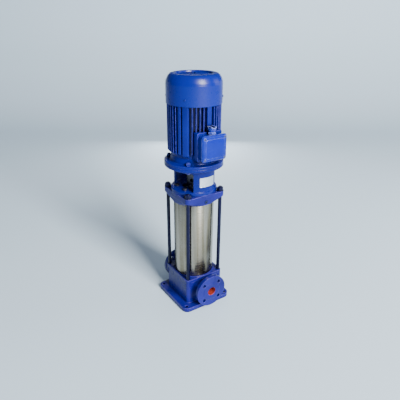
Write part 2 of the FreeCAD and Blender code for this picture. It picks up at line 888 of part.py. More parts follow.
def stage_bowl(stage):
    """One bowl: outer wall, top plate with the next eye, deck and return vanes."""
    body = new_body(f"stage_bowl_{stage}")
    low = f"stage_base + stage_pitch * {stage - 1}"
    top = f"stage_base + stage_pitch * {stage}"
    eye = "eye_radius + neck_wall + clearance"
    under = top + " - bowl_wall"
    wall = "bowl_radius - bowl_wall"
    revolve(body, [(wall, low), ("bowl_radius", low), ("bowl_radius", top), (eye, top), (eye, under), (wall, under)])
    vane = new_sketch(body, "XY_Plane", low + " + deck_level + bowl_wall / 2")
    draw_blade(vane, "(eye_radius + deck_hub_wall)", "(bowl_radius - bowl_wall / 2 + fit)", "-")
    repeat(body, pad(body, vane, "stage_pitch - deck_level - bowl_wall - past"), "bowl_blades")
    bore = "spacer_radius + fit * 2"
    hub = "spacer_radius + deck_hub_wall"
    deck = low + " + deck_level"
    upper = low + " + deck_level + bowl_wall"
    revolve(body, [(bore, low + " + deck_hub_low"), (hub, low + " + deck_hub_low"), (hub, deck),
                   ("deck_radius", deck), ("deck_radius", upper), (hub, upper),
                   (hub, low + " + deck_hub_high"), (bore, low + " + deck_hub_high")])
    return body


def impeller(stage):
    """Closed impeller: hub with back shroud, curved vanes, front shroud with eye neck."""
    body = new_body(f"impeller_{stage}")
    low = f"stage_base + stage_pitch * {stage - 1}"
    bore = "shaft_radius + fit"
    foot = low + " + hub_low"
    crown = low + " + hub_high"
    back = low + " + back_shroud"
    behind = low + " + back_shroud + shroud_thick"
    revolve(body, [(bore, foot), ("hub_radius", foot), ("hub_radius", back), ("impeller_radius", back),
                   ("impeller_radius", behind), ("hub_radius", behind), ("hub_radius", crown), (bore, crown)])
    vane = new_sketch(body, "XY_Plane", low + " + front_shroud + past")
    draw_blade(vane, "(eye_radius + neck_wall)", "(impeller_radius - 2 * past)")
    repeat(body, pad(body, vane, "back_shroud - front_shroud"), "impeller_blades")
    neck = "eye_radius + neck_wall"
    mouth = low + " - neck_drop"
    front = low + " + front_shroud"
    inside = low + " + front_shroud + shroud_thick"
    revolve(body, [("eye_radius", mouth), (neck, mouth), (neck, front), ("impeller_radius", front),
                   ("impeller_radius", inside), ("eye_radius", inside)])
    return body


def shaft_spacers():
    bore = "shaft_radius + fit"
    rings = [tube("spacer_radius", bore, "stage_base + hub_low - journal_bottom", "journal_bottom")]
    for stage in range(5):
        low = f"stage_base + stage_pitch * {stage} + hub_high"
        rings.append(tube("spacer_radius", bore, "stage_pitch - hub_high + hub_low", low))
    return gather(rings, "shaft_spacers")


def impeller_nut():
    low = "journal_bottom - nut_tall"
    nut = hexagon("nut_flats", "nut_tall", "0", "0", low)
    return cut(nut, cylinder("thread_radius + fit", "nut_tall", "0", "0", low), "impeller_nut")


def pump_shaft():
    body = new_body("pump_shaft")
    end = "shaft_end - shaft_gap"
    revolve(body, [("0", "shaft_bottom"), ("thread_radius - past", "shaft_bottom"),
                   ("thread_radius", "shaft_bottom + past"), ("thread_radius", "journal_bottom"),
                   ("shaft_radius", "journal_bottom"), ("shaft_radius", "shaft_shoulder"),
                   ("seal_shaft_radius", "shaft_shoulder"), ("seal_shaft_radius", end + " - past"),
                   ("seal_shaft_radius - past", end), ("0", end)])
    return body


# Shaft seal under its cover


def seal_cover():
    body = new_body("seal_cover")
    low = "head_top"
    plate = "head_top + cover_thick"
    crown = "head_top + cover_rise"
    spigot = "head_top - cover_spigot"
    roof = "head_top - seat_tall / 2 + seat_tall"
    bore = "seal_shaft_radius + past"
    revolve(body, [("seal_bore - cover_lip", spigot), ("seal_bore - fit", spigot), ("seal_bore - fit", low),
                   ("cover_radius", low), ("cover_radius", plate + " - past"), ("cover_radius - past", plate),
                   ("seal_bore - 3 * past", plate), ("seal_bore - 5 * past", crown), (bore, crown),
                   (bore, roof), ("seal_bore - cover_lip", roof)])
    holes = new_sketch(body, "XY_Plane", plate)
    for x, y in around("cover_screw_circle", DIAGONALS):
        draw_circle(holes, x, y, "cover_screw_radius + clearance")
    pocket(body, holes, "cover_thick")
    return body


def seal_cover_screws():
    screws = []
    top = "head_top + cover_thick"
    for x, y in around("cover_screw_circle", DIAGONALS):
        low = "head_top - cover_screw_depth"
        shank = cylinder("cover_screw_radius", "cover_thick + cover_screw_depth", x, y, low)
        screws.append(fuse([shank, hexagon("cover_screw_flats", "cover_screw_head", x, y, top)]))
    return gather(screws, "seal_cover_screws")


def seal_seat():
    outer = "seal_bore - cover_lip - fit"
    return tube(outer, "seal_shaft_radius + 1.5 * past", "seat_tall", "head_top - seat_tall / 2", name="seal_seat")


def seal_ring():
    """Rotating carbon ring with the corrugated bellows below it."""
    body = new_body("seal_ring")
    face = "head_top - seat_tall / 2 - clearance"
    inner = "seal_shaft_radius + fit"
    crest = "seal_shaft_radius + bellows_step * 1.5"
    valley = "seal_shaft_radius + bellows_step * 0.75"
    section = [(inner, face), (crest, face), (crest, face + " - bellows_step * 1.5")]
    for fold in range(2, 5):
        section.append((valley, face + f" - bellows_step * {fold}"))
        section.append((crest, face + f" - bellows_step * {fold + 0.5}"))
    foot = face + " - bellows_step * 5.5"
    section += [(crest, foot), (inner, foot)]
    revolve(body, section)
    return body


# Motor stool: base ring, two curved cheeks, top flange, two windows


def motor_stool():
    body = new_body("motor_stool")
    inner = "stool_wall_outer - stool_wall"
    base = "stool_base_top"
    seat = "stool_top - spigot_tall - spigot_gap"
    under = "stool_top - stool_flange_thick"
    revolve(body, [("stool_bore", "head_top"), ("stool_base_radius", "head_top"),
                   ("stool_base_radius", base + " - stool_flare"), ("stool_base_radius - stool_flare", base),
                   ("stool_wall_outer", base), ("stool_wall_outer", under + " - stool_flare * 2"),
                   ("stool_wall_outer + stool_flare", under), ("motor_flange_radius - stool_flare", under),
                   ("motor_flange_radius", under + " + stool_flare"), ("motor_flange_radius", "stool_top"),
                   ("spigot_radius + fit", "stool_top"), ("spigot_radius + fit", seat),
                   (inner, seat), (inner, base), ("stool_bore", base)])
    reach = "(motor_flange_radius + 5 * past)"
    edge_x = f"{reach} * cos(cheek_half_angle)"
    edge_y = f"{reach} * sin(cheek_half_angle)"
    window = new_sketch(body, "XY_Plane", "window_top")
    draw_polygon(window, [("0", "0"), (edge_x, edge_y), (edge_x, reach), (f"-{edge_x}", reach), (f"-{edge_x}", edge_y)])
    opening = pocket(body, window, "window_top - stool_base_top")
    repeat(body, opening, 2)
    bolts = new_sketch(body, "XY_Plane", base)
    for x, y in around("stool_bolt_circle", STOOL_SCREWS):
        draw_circle(bolts, x, y, "stool_bolt_radius + rod_hole_slack")
    pocket(body, bolts, "stool_base_thick")
    flange = new_sketch(body, "XY_Plane", "stool_top")
    for x, y in around("motor_bolt_circle", DIAGONALS):
        draw_circle(flange, x, y, "motor_bolt_hole")
    pocket(body, flange, "stool_flange_thick")
    return body


def stool_bolts():
    bolts = []
    low = "head_top - stool_bolt_depth"
    seat = "stool_base_top + motor_washer_thick"
    for x, y in around("stool_bolt_circle", STOOL_SCREWS):
        shank = cylinder("stool_bolt_radius", "stool_bolt_depth + stool_base_thick", x, y, low)
        washer = cylinder("stool_bolt_radius * 2", "motor_washer_thick", x, y, "stool_base_top")
        head = hexagon("stool_bolt_flats", "stool_bolt_head", x, y, seat)
        bolts.append(fuse([shank, washer, head]))
    return gather(bolts, "stool_bolts")


def nameplate():
    body = new_body("nameplate")
    inner = "stool_wall_outer + fit / 2"
    outer = "stool_wall_outer + plate_thick"
    revolve(body, [(inner, "plate_bottom"), (outer, "plate_bottom"), (outer, "plate_top"), (inner, "plate_top")],
            sweep="plate_angle * 2", turn="plate_turn")
    return body


def nameplate_rivets():
    rivets = []
    reach = "(stool_wall_outer + plate_thick)"
    for side in (-1, 1):
        angle = f"(plate_turn + {side} * (plate_angle - rivet_inset / 2))"
        facing = outward(number(angle))
        for level in ("plate_bottom + rivet_inset", "plate_top - rivet_inset"):
            x = f"{reach} * cos({angle})"
            y = f"{reach} * sin({angle})"
            rivets.append(cone("rivet_radius", "rivet_radius * 0.6", "rivet_tall", x, y, level, facing))
    return gather(rivets, "nameplate_rivets")


# Split coupling clamped over both shaft ends

COUPLING_BOLTS = ("coupling_bottom + coupling_bolt_inset", "coupling_top - coupling_bolt_inset")


def coupling_half(name, side):
    """Half muff; the bolts cross the split and their heads sit in flats."""
    body = new_body(name)
    joint = "shaft_end - shaft_gap / 2"
    rim = "coupling_radius - coupling_bevel"
    revolve(body, [("seal_shaft_radius + fit", "coupling_bottom"), (rim, "coupling_bottom"),
                   ("coupling_radius", "coupling_bottom + coupling_bevel"),
                   ("coupling_radius", "coupling_top - coupling_bevel"),
                   (rim, "coupling_top"), ("motor_shaft_radius + fit", "coupling_top"),
                   ("motor_shaft_radius + fit", joint), ("seal_shaft_radius + fit", joint)])
    away = new_sketch(body, "XZ_Plane", f"{side} * split_half")
    reach = "(coupling_radius + past)"
    draw_polygon(away, [("-" + reach, "coupling_bottom - past"), (reach, "coupling_bottom - past"),
                        (reach, "coupling_top + past"), ("-" + reach, "coupling_top + past")])
    pocket(body, away, reach, forward=side < 0)
    holes = new_sketch(body, "XZ_Plane")
    flats = new_sketch(body, "XZ_Plane", f"{side} * coupling_flat")
    for x in ("coupling_bolt_side", "-coupling_bolt_side"):
        for z in COUPLING_BOLTS:
            draw_circle(holes, x, z, "coupling_bolt_radius + fit")
            draw_circle(flats, x, z, "coupling_flat_radius")
    pocket(body, holes, "2 * " + reach, both=True)
    pocket(body, flats, reach, forward=side > 0)
    if side < 0:
        slot = new_sketch(body, "XZ_Plane")
        draw_polygon(slot, key_outline("coupling_top + past"))
        pocket(body, slot, "key_high + fit")
    return body


def key_outline(top):
    """Outline of the key's slot as seen from the front, up to a given level."""
    floor = "coupling_top - key_length - past - fit"
    half = "(key_half + fit)"
    return [("-" + half, floor), (half, floor), (half, top), ("-" + half, top)]


def coupling_bolts():
    bolts = []
    for x in ("coupling_bolt_side", "-coupling_bolt_side"):
        for z in COUPLING_BOLTS:
            shank = cylinder("coupling_bolt_radius", "coupling_flat * 2 + 8 * past", x, "-coupling_flat", z, UP_Y)
            seat = "-coupling_flat - coupling_bolt_head"
            head = hexagon("coupling_nut_flats", "coupling_bolt_head", x, seat, z, UP_Y)
            nut = hexagon("coupling_nut_flats", "coupling_nut_tall", x, "coupling_flat", z, UP_Y)
            bolts.append(fuse([shank, head, nut]))
    return gather(bolts, "coupling_bolts")


def coupling_key():
    low = "coupling_top - key_length - past"
    key = block("key_half * 2", "key_high - key_low", "key_length", "-key_half", "key_low", low)
    key.Label = "coupling_key"
    return key


# Motor: flanged end shield, ribbed frame, upper shield, active parts

PAD_ANGLES = ("pad_angle", "(180 - pad_angle)")


def motor_flange():
    body = new_body("motor_flange")
    low = "stool_top"
    top = "stool_top + motor_flange_thick"
    bearing_end = "bearing_low + bearing_width"
    lip = "spigot_radius - shield_wall + past"
    tongue = "frame_inner - shield_wall"
    crown = "frame_bottom + shield_wall - past"
    boss = "bearing_radius + boss_wall"
    revolve(body, [("bearing_bore + past", low), (lip, low), (lip, low + " - spigot_tall"),
                   ("spigot_radius", low + " - spigot_tall"), ("spigot_radius", low),
                   ("motor_flange_radius", low), ("motor_flange_radius", top + " - stool_flare"),
                   ("motor_flange_radius - stool_flare", top), ("collar_radius", top),
                   ("collar_radius - collar_draft", "frame_bottom"), ("frame_inner - fit", "frame_bottom"),
                   ("frame_inner - fit", crown), (tongue, crown), (tongue, top), (boss, top), (boss, bearing_end),
                   ("bearing_radius + fit", bearing_end), ("bearing_radius + fit", "bearing_low"),
                   ("bearing_bore + past", "bearing_low")])
    holes = new_sketch(body, "XY_Plane", top)
    for x, y in around("motor_bolt_circle", DIAGONALS):
        draw_circle(holes, x, y, "motor_bolt_hole")
    pocket(body, holes, "motor_flange_thick")
    screws = new_sketch(body, "XY_Plane", low + " - spigot_tall")
    sinks = new_sketch(body, "XY_Plane", low + " - spigot_tall")
    for x, y in around("screw_circle", QUARTERS):
        draw_circle(screws, x, y, "shield_screw + clearance")
        draw_circle(sinks, x, y, "shield_head + clearance")
    pocket(body, screws, "frame_bottom - stool_top + spigot_tall + past", forward=True)
    pocket(body, sinks, "spigot_tall * 2", forward=True)
    return body


def draw_fin(sketch, angle, root_half="fin_root_thick / 2", tip_half="fin_tip_thick / 2"):
    """Section of one cooling fin, or of a wider rib, standing radially on the frame."""
    c = f"cos({angle})"
    s = f"sin({angle})"
    root = "(frame_root - 4 * past)"
    points = []
    ends = ((root, f"-{root_half}"), ("fin_tip", f"-{tip_half}"), ("fin_tip", tip_half), (root, root_half))
    for radius, half in ends:
        points.append((f"{radius} * {c} - ({half}) * {s}", f"{radius} * {s} + ({half}) * {c}"))
    draw_polygon(sketch, points)


def motor_frame():
    body = new_body("motor_frame")
    revolve(body, [("frame_inner", "frame_bottom"), ("frame_root", "frame_bottom"),
                   ("frame_root", "frame_top"), ("frame_inner", "frame_top")])
    ribs = new_sketch(body, "XY_Plane", "frame_bottom + fin_start")
    for angle in (13, 21, 29, 37, 74, 82, 90, 98, 106, 143, 151, 159, 167):
        draw_fin(ribs, angle)
    for angle in (65, 115):
        draw_fin(ribs, angle, "band_half", "band_half")
    repeat(body, pad(body, ribs, "frame_length - fin_start"), 2)
    pads = new_sketch(body, "XY_Plane", "frame_bottom + pad_start")
    for angle in PAD_ANGLES:
        draw_fin(pads, angle, "pad_half", "pad_half")
    repeat(body, pad(body, pads, "pad_top - frame_bottom - pad_start"), 2)
    spine = new_sketch(body, "XY_Plane", "frame_bottom + pad_start")
    draw_fin(spine, 0, "spine_half", "spine_half")
    repeat(body, pad(body, spine, "frame_length - pad_start"), 2)
    shield_seat = "frame_root - shield_step + clearance"
    above = "pad_top + past"
    over_shield = [("0", "frame_top"), (shield_seat, "frame_top"), (shield_seat, above), ("0", above)]
    revolve(body, over_shield, cut=True)
    seat = new_sketch(body, "YZ_Plane", "frame_root - seat_root")
    draw_rounded(seat, "-lid_side", "lid_side", "lid_bottom - seat_drop", "lid_top + seat_rise", "seat_rise")
    pad(body, seat, "box_face - frame_root + seat_root")
    below = "frame_bottom - past"
    beyond = "frame_top + past"
    revolve(body, [("0", below), ("frame_inner", below), ("frame_inner", beyond), ("0", beyond)], cut=True)
    passage = new_sketch(body, "YZ_Plane", "box_face")
    draw_circle(passage, "0", "box_middle", "wire_passage")
    pocket(body, passage, "box_face - frame_inner + wire_passage / 2")
    ends = (("frame_bottom", True), ("frame_top", False))
    for level, upward in ends:
        tapped = new_sketch(body, "XY_Plane", level)
        for x, y in around("screw_circle", QUARTERS):
            draw_circle(tapped, x, y, "shield_screw + fit")
        pocket(body, tapped, "shield_screw_depth + 2 * past", forward=upward)
    drill_radially(body)
    return body


def drill_radially(body):
    """Four holes for the cowl screws, square to the pad faces."""
    for angle in PAD_ANGLES:
        sketch = new_sketch(body, "YZ_Plane", turn=angle)
        draw_circle(sketch, "0", "cowl_screw_height", "cowl_screw_radius + fit")
        repeat(body, pocket(body, sketch, "cowl_radius + past", forward=True), 2)


def upper_end_shield():
    body = new_body("upper_end_shield")
    top = "bearing_high + bearing_width"
    low = "bearing_high - bearing_sink"
    plate = "frame_top + shield_thick"
    crown = top + " + bearing_sink"
    boss = "bearing_radius + boss_wall"
    tongue = "frame_inner - shield_wall"
    rim = "frame_root - shield_step"
    revolve(body, [("bearing_radius + fit", low), (boss, low), (boss, "frame_top"), (tongue, "frame_top"),
                   (tongue, low), ("frame_inner - fit", low), ("frame_inner - fit", "frame_top"),
                   (rim, "frame_top"), (rim, plate), (boss, plate), (boss, crown), ("bearing_bore + past", crown),
                   ("bearing_bore + past", top), ("bearing_radius + fit", top)])
    holes = new_sketch(body, "XY_Plane", plate)
    for x, y in around("screw_circle", QUARTERS):
        draw_circle(holes, x, y, "shield_screw + clearance")
    pocket(body, holes, "shield_thick")
    return body


def end_shield_bolts():
    """Socket screws: four up through the flange shield, four down through the upper one."""
    screws = []
    seat = "stool_top + spigot_tall"
    plate = "frame_top + shield_thick"
    for x, y in around("screw_circle", QUARTERS):
        shank = cylinder("shield_screw", f"frame_bottom + shield_screw_depth - ({seat})", x, y, seat)
        head = cylinder("shield_head", "spigot_tall - spigot_gap", x, y, "stool_top + spigot_gap")
        screws.append(fuse([shank, head]))
        shank = cylinder("shield_screw", "shield_thick + shield_screw_depth", x, y, "frame_top - shield_screw_depth")
        head = cylinder("shield_head - clearance", "spigot_tall", x, y, plate)
        screws.append(fuse([shank, head]))
    return gather(screws, "end_shield_bolts")


def stator_core():
    body = new_body("stator_core")
    bore = "rotor_radius + air_gap"
    revolve(body, [(bore, "core_bottom"), ("frame_inner - fit", "core_bottom"),
                   ("frame_inner - fit", "core_top"), (bore, "core_top")])
    slot = new_sketch(body, "XY_Plane", "core_top")
    tooth = "rotor_radius + air_gap + 2 * past"
    back = "rotor_radius + slot_depth"
    draw_polygon(slot, [(tooth, "-slot_depth * 0.14"), (back, "-slot_depth * 0.22"),
                        (back, "slot_depth * 0.22"), (tooth, "slot_depth * 0.14")])
    repeat(body, pocket(body, slot, "core_length"), "core_slots")
    return body


def stator_windings():
    """Two wound end rings, one below and one above the core."""
    rings = []
    for low in ("core_bottom - winding_tall", "core_top"):
        rings.append(tube("frame_inner - rotor_ring", "rotor_radius + slot_depth / 4", "winding_tall", low))
    return gather(rings, "stator_windings")


def rotor_core():
    body = new_body("rotor_core")
    low = "core_bottom - rotor_ring_tall"
    top = "core_top + rotor_ring_tall"
    ring = "rotor_radius - rotor_ring"
    revolve(body, [("rotor_bore + fit", low), (ring, low), (ring, "core_bottom"), ("rotor_radius", "core_bottom"),
                   ("rotor_radius", "core_top"), (ring, "core_top"), (ring, top), ("rotor_bore + fit", top)])
    return body


def motor_shaft():
    body = new_body("motor_shaft")
    low_shoulder = "bearing_low - bearing_sink"
    low_seat = "bearing_low + bearing_width"
    high_seat = "bearing_high + bearing_width + bearing_ring"
    tip = "fan_bottom + fan_hub_tall + bearing_ring"
    revolve(body, [("0", "shaft_end"), ("motor_shaft_radius - past", "shaft_end"),
                   ("motor_shaft_radius", "shaft_end + past"), ("motor_shaft_radius", low_shoulder),
                   ("bearing_bore", low_shoulder), ("bearing_bore", low_seat), ("rotor_bore", low_seat),
                   ("rotor_bore", "bearing_high"), ("bearing_bore", "bearing_high"), ("bearing_bore", high_seat),
                   ("fan_bore", high_seat), ("fan_bore", tip + " - past"), ("fan_bore - past", tip), ("0", tip)])
    slot = new_sketch(body, "XZ_Plane", "-key_low")
    draw_polygon(slot, key_outline("coupling_top - past + fit"))
    pocket(body, slot, "motor_shaft_radius - key_low + 2 * past")
    return body


def bearing_outers():
    """Outer ring of each sealed ball bearing, with the two shields pressed in."""
    rings = []
    for low in ("bearing_low", "bearing_high"):
        pieces = [tube("bearing_radius", "bearing_radius - bearing_ring", "bearing_width", low)]
        outer = "bearing_radius - bearing_ring + past"
        for level in (low, f"{low} + bearing_width - seal_disc"):
            pieces.append(tube(outer, "bearing_bore + bearing_ring + clearance", "seal_disc", level))
        rings.append(fuse(pieces))
    return gather(rings, "bearing_outers")


def bearing_inners():
    rings = []
    for low in ("bearing_low", "bearing_high"):
        rings.append(tube("bearing_bore + bearing_ring", "bearing_bore + fit", "bearing_width", low))
    return gather(rings, "bearing_inners")


def flange_bolts():
    bolts = []
    under = "stool_top - stool_flange_thick"
    for x, y in around("motor_bolt_circle", DIAGONALS):
        reach = "stool_flange_thick + motor_flange_thick + shank_spare"
        shank = cylinder("motor_bolt_radius", reach, x, y, under)
        head = hexagon("motor_bolt_flats", "motor_bolt_head", x, y, under + " - motor_bolt_head")
        bolts.append(fuse([shank, head]))
    return gather(bolts, "flange_bolts")


def flange_nuts():
    nuts = []
    low = "stool_top + motor_flange_thick"
    for x, y in around("motor_bolt_circle", DIAGONALS):
        washer = cylinder("motor_washer_radius", "motor_washer_thick", x, y, low)
        nut = hexagon("motor_bolt_flats", "motor_nut_tall", x, y, low + " + motor_washer_thick")
        hole = cylinder("motor_bolt_radius + fit", "motor_washer_thick + motor_nut_tall", x, y, low)
        nuts.append(cut(fuse([washer, nut]), hole))
    return gather(nuts, "flange_nuts")


# Fan cowl and fan

COWL_DOME = ((0, 0), (2.2, 0.32), (8.6, 0.68), (15.2, 0.9), (19.4, 0.97), (24.2, 1))


def fan_cowl():
    body = new_body("fan_cowl")
    inner = "cowl_radius - cowl_sheet"
    dish = "cowl_top - grille_drop"
    outline = [("cowl_radius", "cowl_bottom")]
    lining = [(inner, "cowl_bottom")]
    for step_in, share in COWL_DOME:
        level = f"cowl_shoulder + cowl_dome * {share}"
        outline.append((f"cowl_radius - {step_in}", level))
        lining.append((f"{inner} - {step_in}", level + " - cowl_sheet / 2"))
    lining[-1] = (lining[-1][0], "cowl_top - cowl_sheet")
    under = dish + " - cowl_sheet"
    outline += [("cowl_rim", "cowl_top"), ("cowl_rim - cowl_sheet", dish), ("0", dish), ("0", under),
                ("cowl_rim", under), ("cowl_rim + cowl_sheet", "cowl_top - cowl_sheet")]
    revolve(body, outline + lining[::-1])
    slot = new_sketch(body, "XY_Plane", dish + " + past")
    edge = "cowl_rim - grille_edge"
    draw_polygon(slot, [("grille_inner", "-cowl_sheet"), (edge, "-cowl_sheet * 3.2"),
                        (edge, "cowl_sheet * 3.2"), ("grille_inner", "cowl_sheet")])
    repeat(body, pocket(body, slot, "cowl_sheet + 2 * past"), "grille_slots")
    drill_radially(body)
    return body


def cooling_fan():
    body = new_body("cooling_fan")
    rim = "fan_radius - 4 * past"
    plate = "fan_bottom + fan_plate"
    crown = "fan_bottom + fan_hub_tall"
    revolve(body, [("fan_bore + fit", "fan_bottom"), (rim, "fan_bottom"), (rim, plate), ("fan_hub", plate),
                   ("fan_hub - past", crown), ("fan_bore + fit", crown)])
    blade = new_sketch(body, "XY_Plane", "fan_bottom")
    start = "fan_hub - 4 * past"
    draw_polygon(blade, [(start, "-fan_plate / 2"), ("fan_radius", "-fan_plate / 2"),
                         ("fan_radius", "fan_plate / 2"), (start, "fan_plate / 2")])
    repeat(body, pad(body, blade, "fan_blade_tall"), "fan_blades")
    return body


def cowl_screws():
    """Pan head screws through the cowl skirt into the frame pads."""
    screws = []
    seat = "(cowl_radius + fit)"
    tip = "(cowl_radius - cowl_screw_depth)"
    level = "cowl_screw_height"
    for angle in PAD_ANGLES + tuple(f"(180 + {angle})" for angle in PAD_ANGLES):
        facing = outward(number(angle))
        x, y = around(seat, [angle])[0]
        tall = "cowl_screw_radius * 1.25"
        head = cone("cowl_screw_radius * 2.25", "cowl_screw_radius * 1.5", tall, x, y, level, facing)
        x, y = around(tip, [angle])[0]
        shank = cylinder("cowl_screw_radius", "cowl_screw_depth + past", x, y, level, facing)
        screws.append(fuse([head, shank]))
    return gather(screws, "cowl_screws")


# Terminal box on the side of the motor

CLAMP_SIDES = ("-gland_bore - clamp_wide", "gland_bore")
CLAMP_SCREWS = ("gland_x - clamp_screw_gap", "gland_x + clamp_screw_gap")


def terminal_box():
    body = new_body("terminal_box")
    shell = new_sketch(body, "YZ_Plane", "box_face")
    draw_box_ring(shell, "box_inset", "box_corner * 0.7")
    pad(body, shell, "box_depth")
    room = new_sketch(body, "YZ_Plane", "lid_seat")
    draw_box_ring(room, "(box_inset + box_shell + past)", "box_corner * 0.4")
    pocket(body, room, "box_depth - box_shell")
    posts = new_sketch(body, "YZ_Plane", "box_face + box_shell / 2")
    taps = new_sketch(body, "YZ_Plane", "lid_seat")
    for y, z in lid_screw_spots():
        draw_circle(posts, y, z, "lid_screw_radius * 2.4")
        draw_circle(taps, y, z, "lid_screw_radius + fit")
    pad(body, posts, "box_depth - box_shell / 2")
    pocket(body, taps, "box_depth / 2")
    passage = new_sketch(body, "YZ_Plane", "box_face + box_shell + past")
    draw_circle(passage, "0", "box_middle", "wire_passage")
    pocket(body, passage, "box_shell + 2 * past")
    boss = new_sketch(body, "XY_Plane", "box_top - past")
    draw_circle(boss, "gland_x", "0", "gland_boss")
    pad(body, boss, "gland_seat - box_top + past")
    entry = new_sketch(body, "XY_Plane", "gland_seat")
    draw_circle(entry, "gland_x", "0", "gland_thread + fit")
    pocket(body, entry, "box_shell * 4")
    return body


def draw_box_ring(sketch, inset, radius):
    """Outline of the box seen from the front, drawn in from the lid's edge at the sides."""
    draw_rounded(sketch, f"-lid_side + {inset}", f"lid_side - {inset}", f"lid_bottom - 1 + {inset}",
                 f"lid_top + 1 - {inset}", radius)


def lid_screw_spots():
    low = "lid_bottom + lid_screw_inset"
    high = "lid_top - lid_screw_inset"
    return [(f"{side} * (lid_side - lid_screw_inset)", level) for side in (1, -1) for level in (low, high)]


def lid_gasket():
    body = new_body("lid_gasket")
    ring = new_sketch(body, "YZ_Plane", "lid_seat")
    draw_box_ring(ring, "box_inset", "box_corner * 0.7")
    draw_box_ring(ring, "(box_inset * 2 + clearance)", "1.5 * past")
    pad(body, ring, "gasket_thick / 2")
    return body


def terminal_lid():
    body = new_body("terminal_lid")
    shell = new_sketch(body, "YZ_Plane", "lid_seat + gasket_thick / 2")
    draw_rounded(shell, "-lid_side", "lid_side", "lid_bottom", "lid_top", "lid_screw_inset")
    base = pad(body, shell, "lid_thick - gasket_thick / 2")
    face = number("lid_face")
    soften(body, base, lambda edge, spot: abs(spot.x - face) < 0.01, "lid_bevel", "Chamfer")
    panel = new_sketch(body, "YZ_Plane", "lid_face - past")
    side = "lid_side - panel_inset"
    foot = "lid_bottom + panel_inset"
    crown = "lid_top - panel_inset"
    draw_rounded(panel, f"-({side})", side, foot, crown, "lid_screw_inset")
    pad(body, panel, "panel_step + past")
    room = new_sketch(body, "YZ_Plane", "lid_seat + gasket_thick / 2")
    draw_box_ring(room, "(panel_inset + box_shell)", "box_corner * 0.4")
    pocket(body, room, "lid_thick / 2", forward=True)
    holes = new_sketch(body, "YZ_Plane", "lid_face")
    for y, z in lid_screw_spots():
        draw_circle(holes, y, z, "lid_screw_radius + clearance")
    pocket(body, holes, "lid_thick")
    return body


def lid_screws():
    screws = []
    for y, z in lid_screw_spots():
        shank = cylinder("lid_screw_radius", "lid_thick * 1.8", "lid_face - lid_thick * 1.8", y, z, UP_X)
        head = cone("lid_screw_radius * 1.6", "lid_screw_radius * 1.28", "panel_step", "lid_face", y, z, UP_X)
        screws.append(fuse([shank, head]))
    return gather(screws, "lid_screws")


def terminal_board():
    board = block("board_thick", "board_half * 2", "board_tall", "box_face + box_shell", "-board_half",
                  "box_middle - board_tall")
    board.Label = "terminal_board"
    return board


def terminal_studs():
    """Two rows of three studs, each with its nut against the board."""
    studs = []
    front = "box_face + box_shell + board_thick"
    for y in ("-stud_gap", "0", "stud_gap"):
        for share in (0.25, 0.75):
            z = f"box_middle - board_tall * {share}"
            post = cylinder("stud_radius", "stud_length", front, y, z, UP_X)
            nut = hexagon("stud_radius * 3.2", "stud_radius * 1.6", front, y, z, UP_X)
            studs.append(fuse([post, nut]))
    return gather(studs, "terminal_studs")


def cable_gland():
    """Threaded into the box top: hexagon with a flat to the motor, cone and mouth around the cable bore."""
    thread = cylinder("gland_thread", "box_shell * 3", "gland_x", "0", "gland_seat - box_shell * 3")
    collar = hexagon("gland_radius * 1.64", "gland_tall * 0.3", "gland_x", "0", "gland_seat", FLAT_TO_X)
    barrel = cone("gland_radius * 0.79", "gland_radius * 0.88", "gland_tall * 0.35", "gland_x", "0",
                  "gland_seat + gland_tall * 0.3")
    mouth = cylinder("gland_radius * 0.94", "gland_tall * 0.35", "gland_x", "0", "gland_seat + gland_tall * 0.65")
    bore = cylinder("gland_bore", "gland_tall + box_shell * 4", "gland_x", "0", "gland_seat - box_shell * 4")
    return cut(fuse([thread, collar, barrel, mouth]), bore, "cable_gland")


def gland_clamp():
    """Two strain relief bars across the mouth of the gland, one on each side of the cable."""
    bars = []
    middle = "clamp_height + clamp_tall / 2"
    for y in CLAMP_SIDES:
        bar = block("clamp_long", "clamp_wide", "clamp_tall", "gland_x - clamp_long / 2", y, "clamp_height")
        holes = [cylinder("clamp_screw + fit", "clamp_wide + past", x, f"{y} - past / 2", middle, UP_Y)
                 for x in CLAMP_SCREWS]
        bars.append(cut(bar, fuse(holes)))
    return gather(bars, "gland_clamp")


def gland_screws():
    screws = []
    middle = "clamp_height + clamp_tall / 2"
    span = "(gland_bore + clamp_wide) * 2 + past"
    for x in CLAMP_SCREWS:
        shank = cylinder("clamp_screw", span, x, "-gland_bore - clamp_wide", middle, UP_Y)
        head = cylinder("clamp_screw * 1.7", "clamp_screw * 1.3", x, "-gland_bore - clamp_wide - clamp_screw * 1.3",
                        middle, UP_Y)
        screws.append(fuse([shank, head]))
    return gather(screws, "gland_screws")


fill_sheet()

PIECES = [
    base_casing(), drain_plug(), outer_sleeve(), sleeve_gaskets(), tie_rods(), tie_rod_washers(),
    tie_rod_nuts(), upper_head(), vent_plug(), inlet_bowl(), lower_bush(), shaft_spacers(), impeller_nut(),
    pump_shaft(), seal_cover(), seal_cover_screws(), seal_seat(), seal_ring(), motor_stool(), stool_bolts(),
    nameplate(), nameplate_rivets(), coupling_half("coupling_front", 1), coupling_half("coupling_rear", -1),
    coupling_bolts(), motor_flange(), motor_frame(), upper_end_shield(), end_shield_bolts(), stator_core(),
    stator_windings(), rotor_core(), motor_shaft(), bearing_outers(), bearing_inners(), flange_bolts(),
    flange_nuts(), fan_cowl(), cooling_fan(), cowl_screws(), terminal_box(), lid_gasket(), terminal_lid(),
    lid_screws(), terminal_studs(), cable_gland(), gland_clamp(), gland_screws(),
    coupling_key(), terminal_board(),
]
for stage in range(1, 6):
    PIECES += [stage_bowl(stage), impeller(stage)]

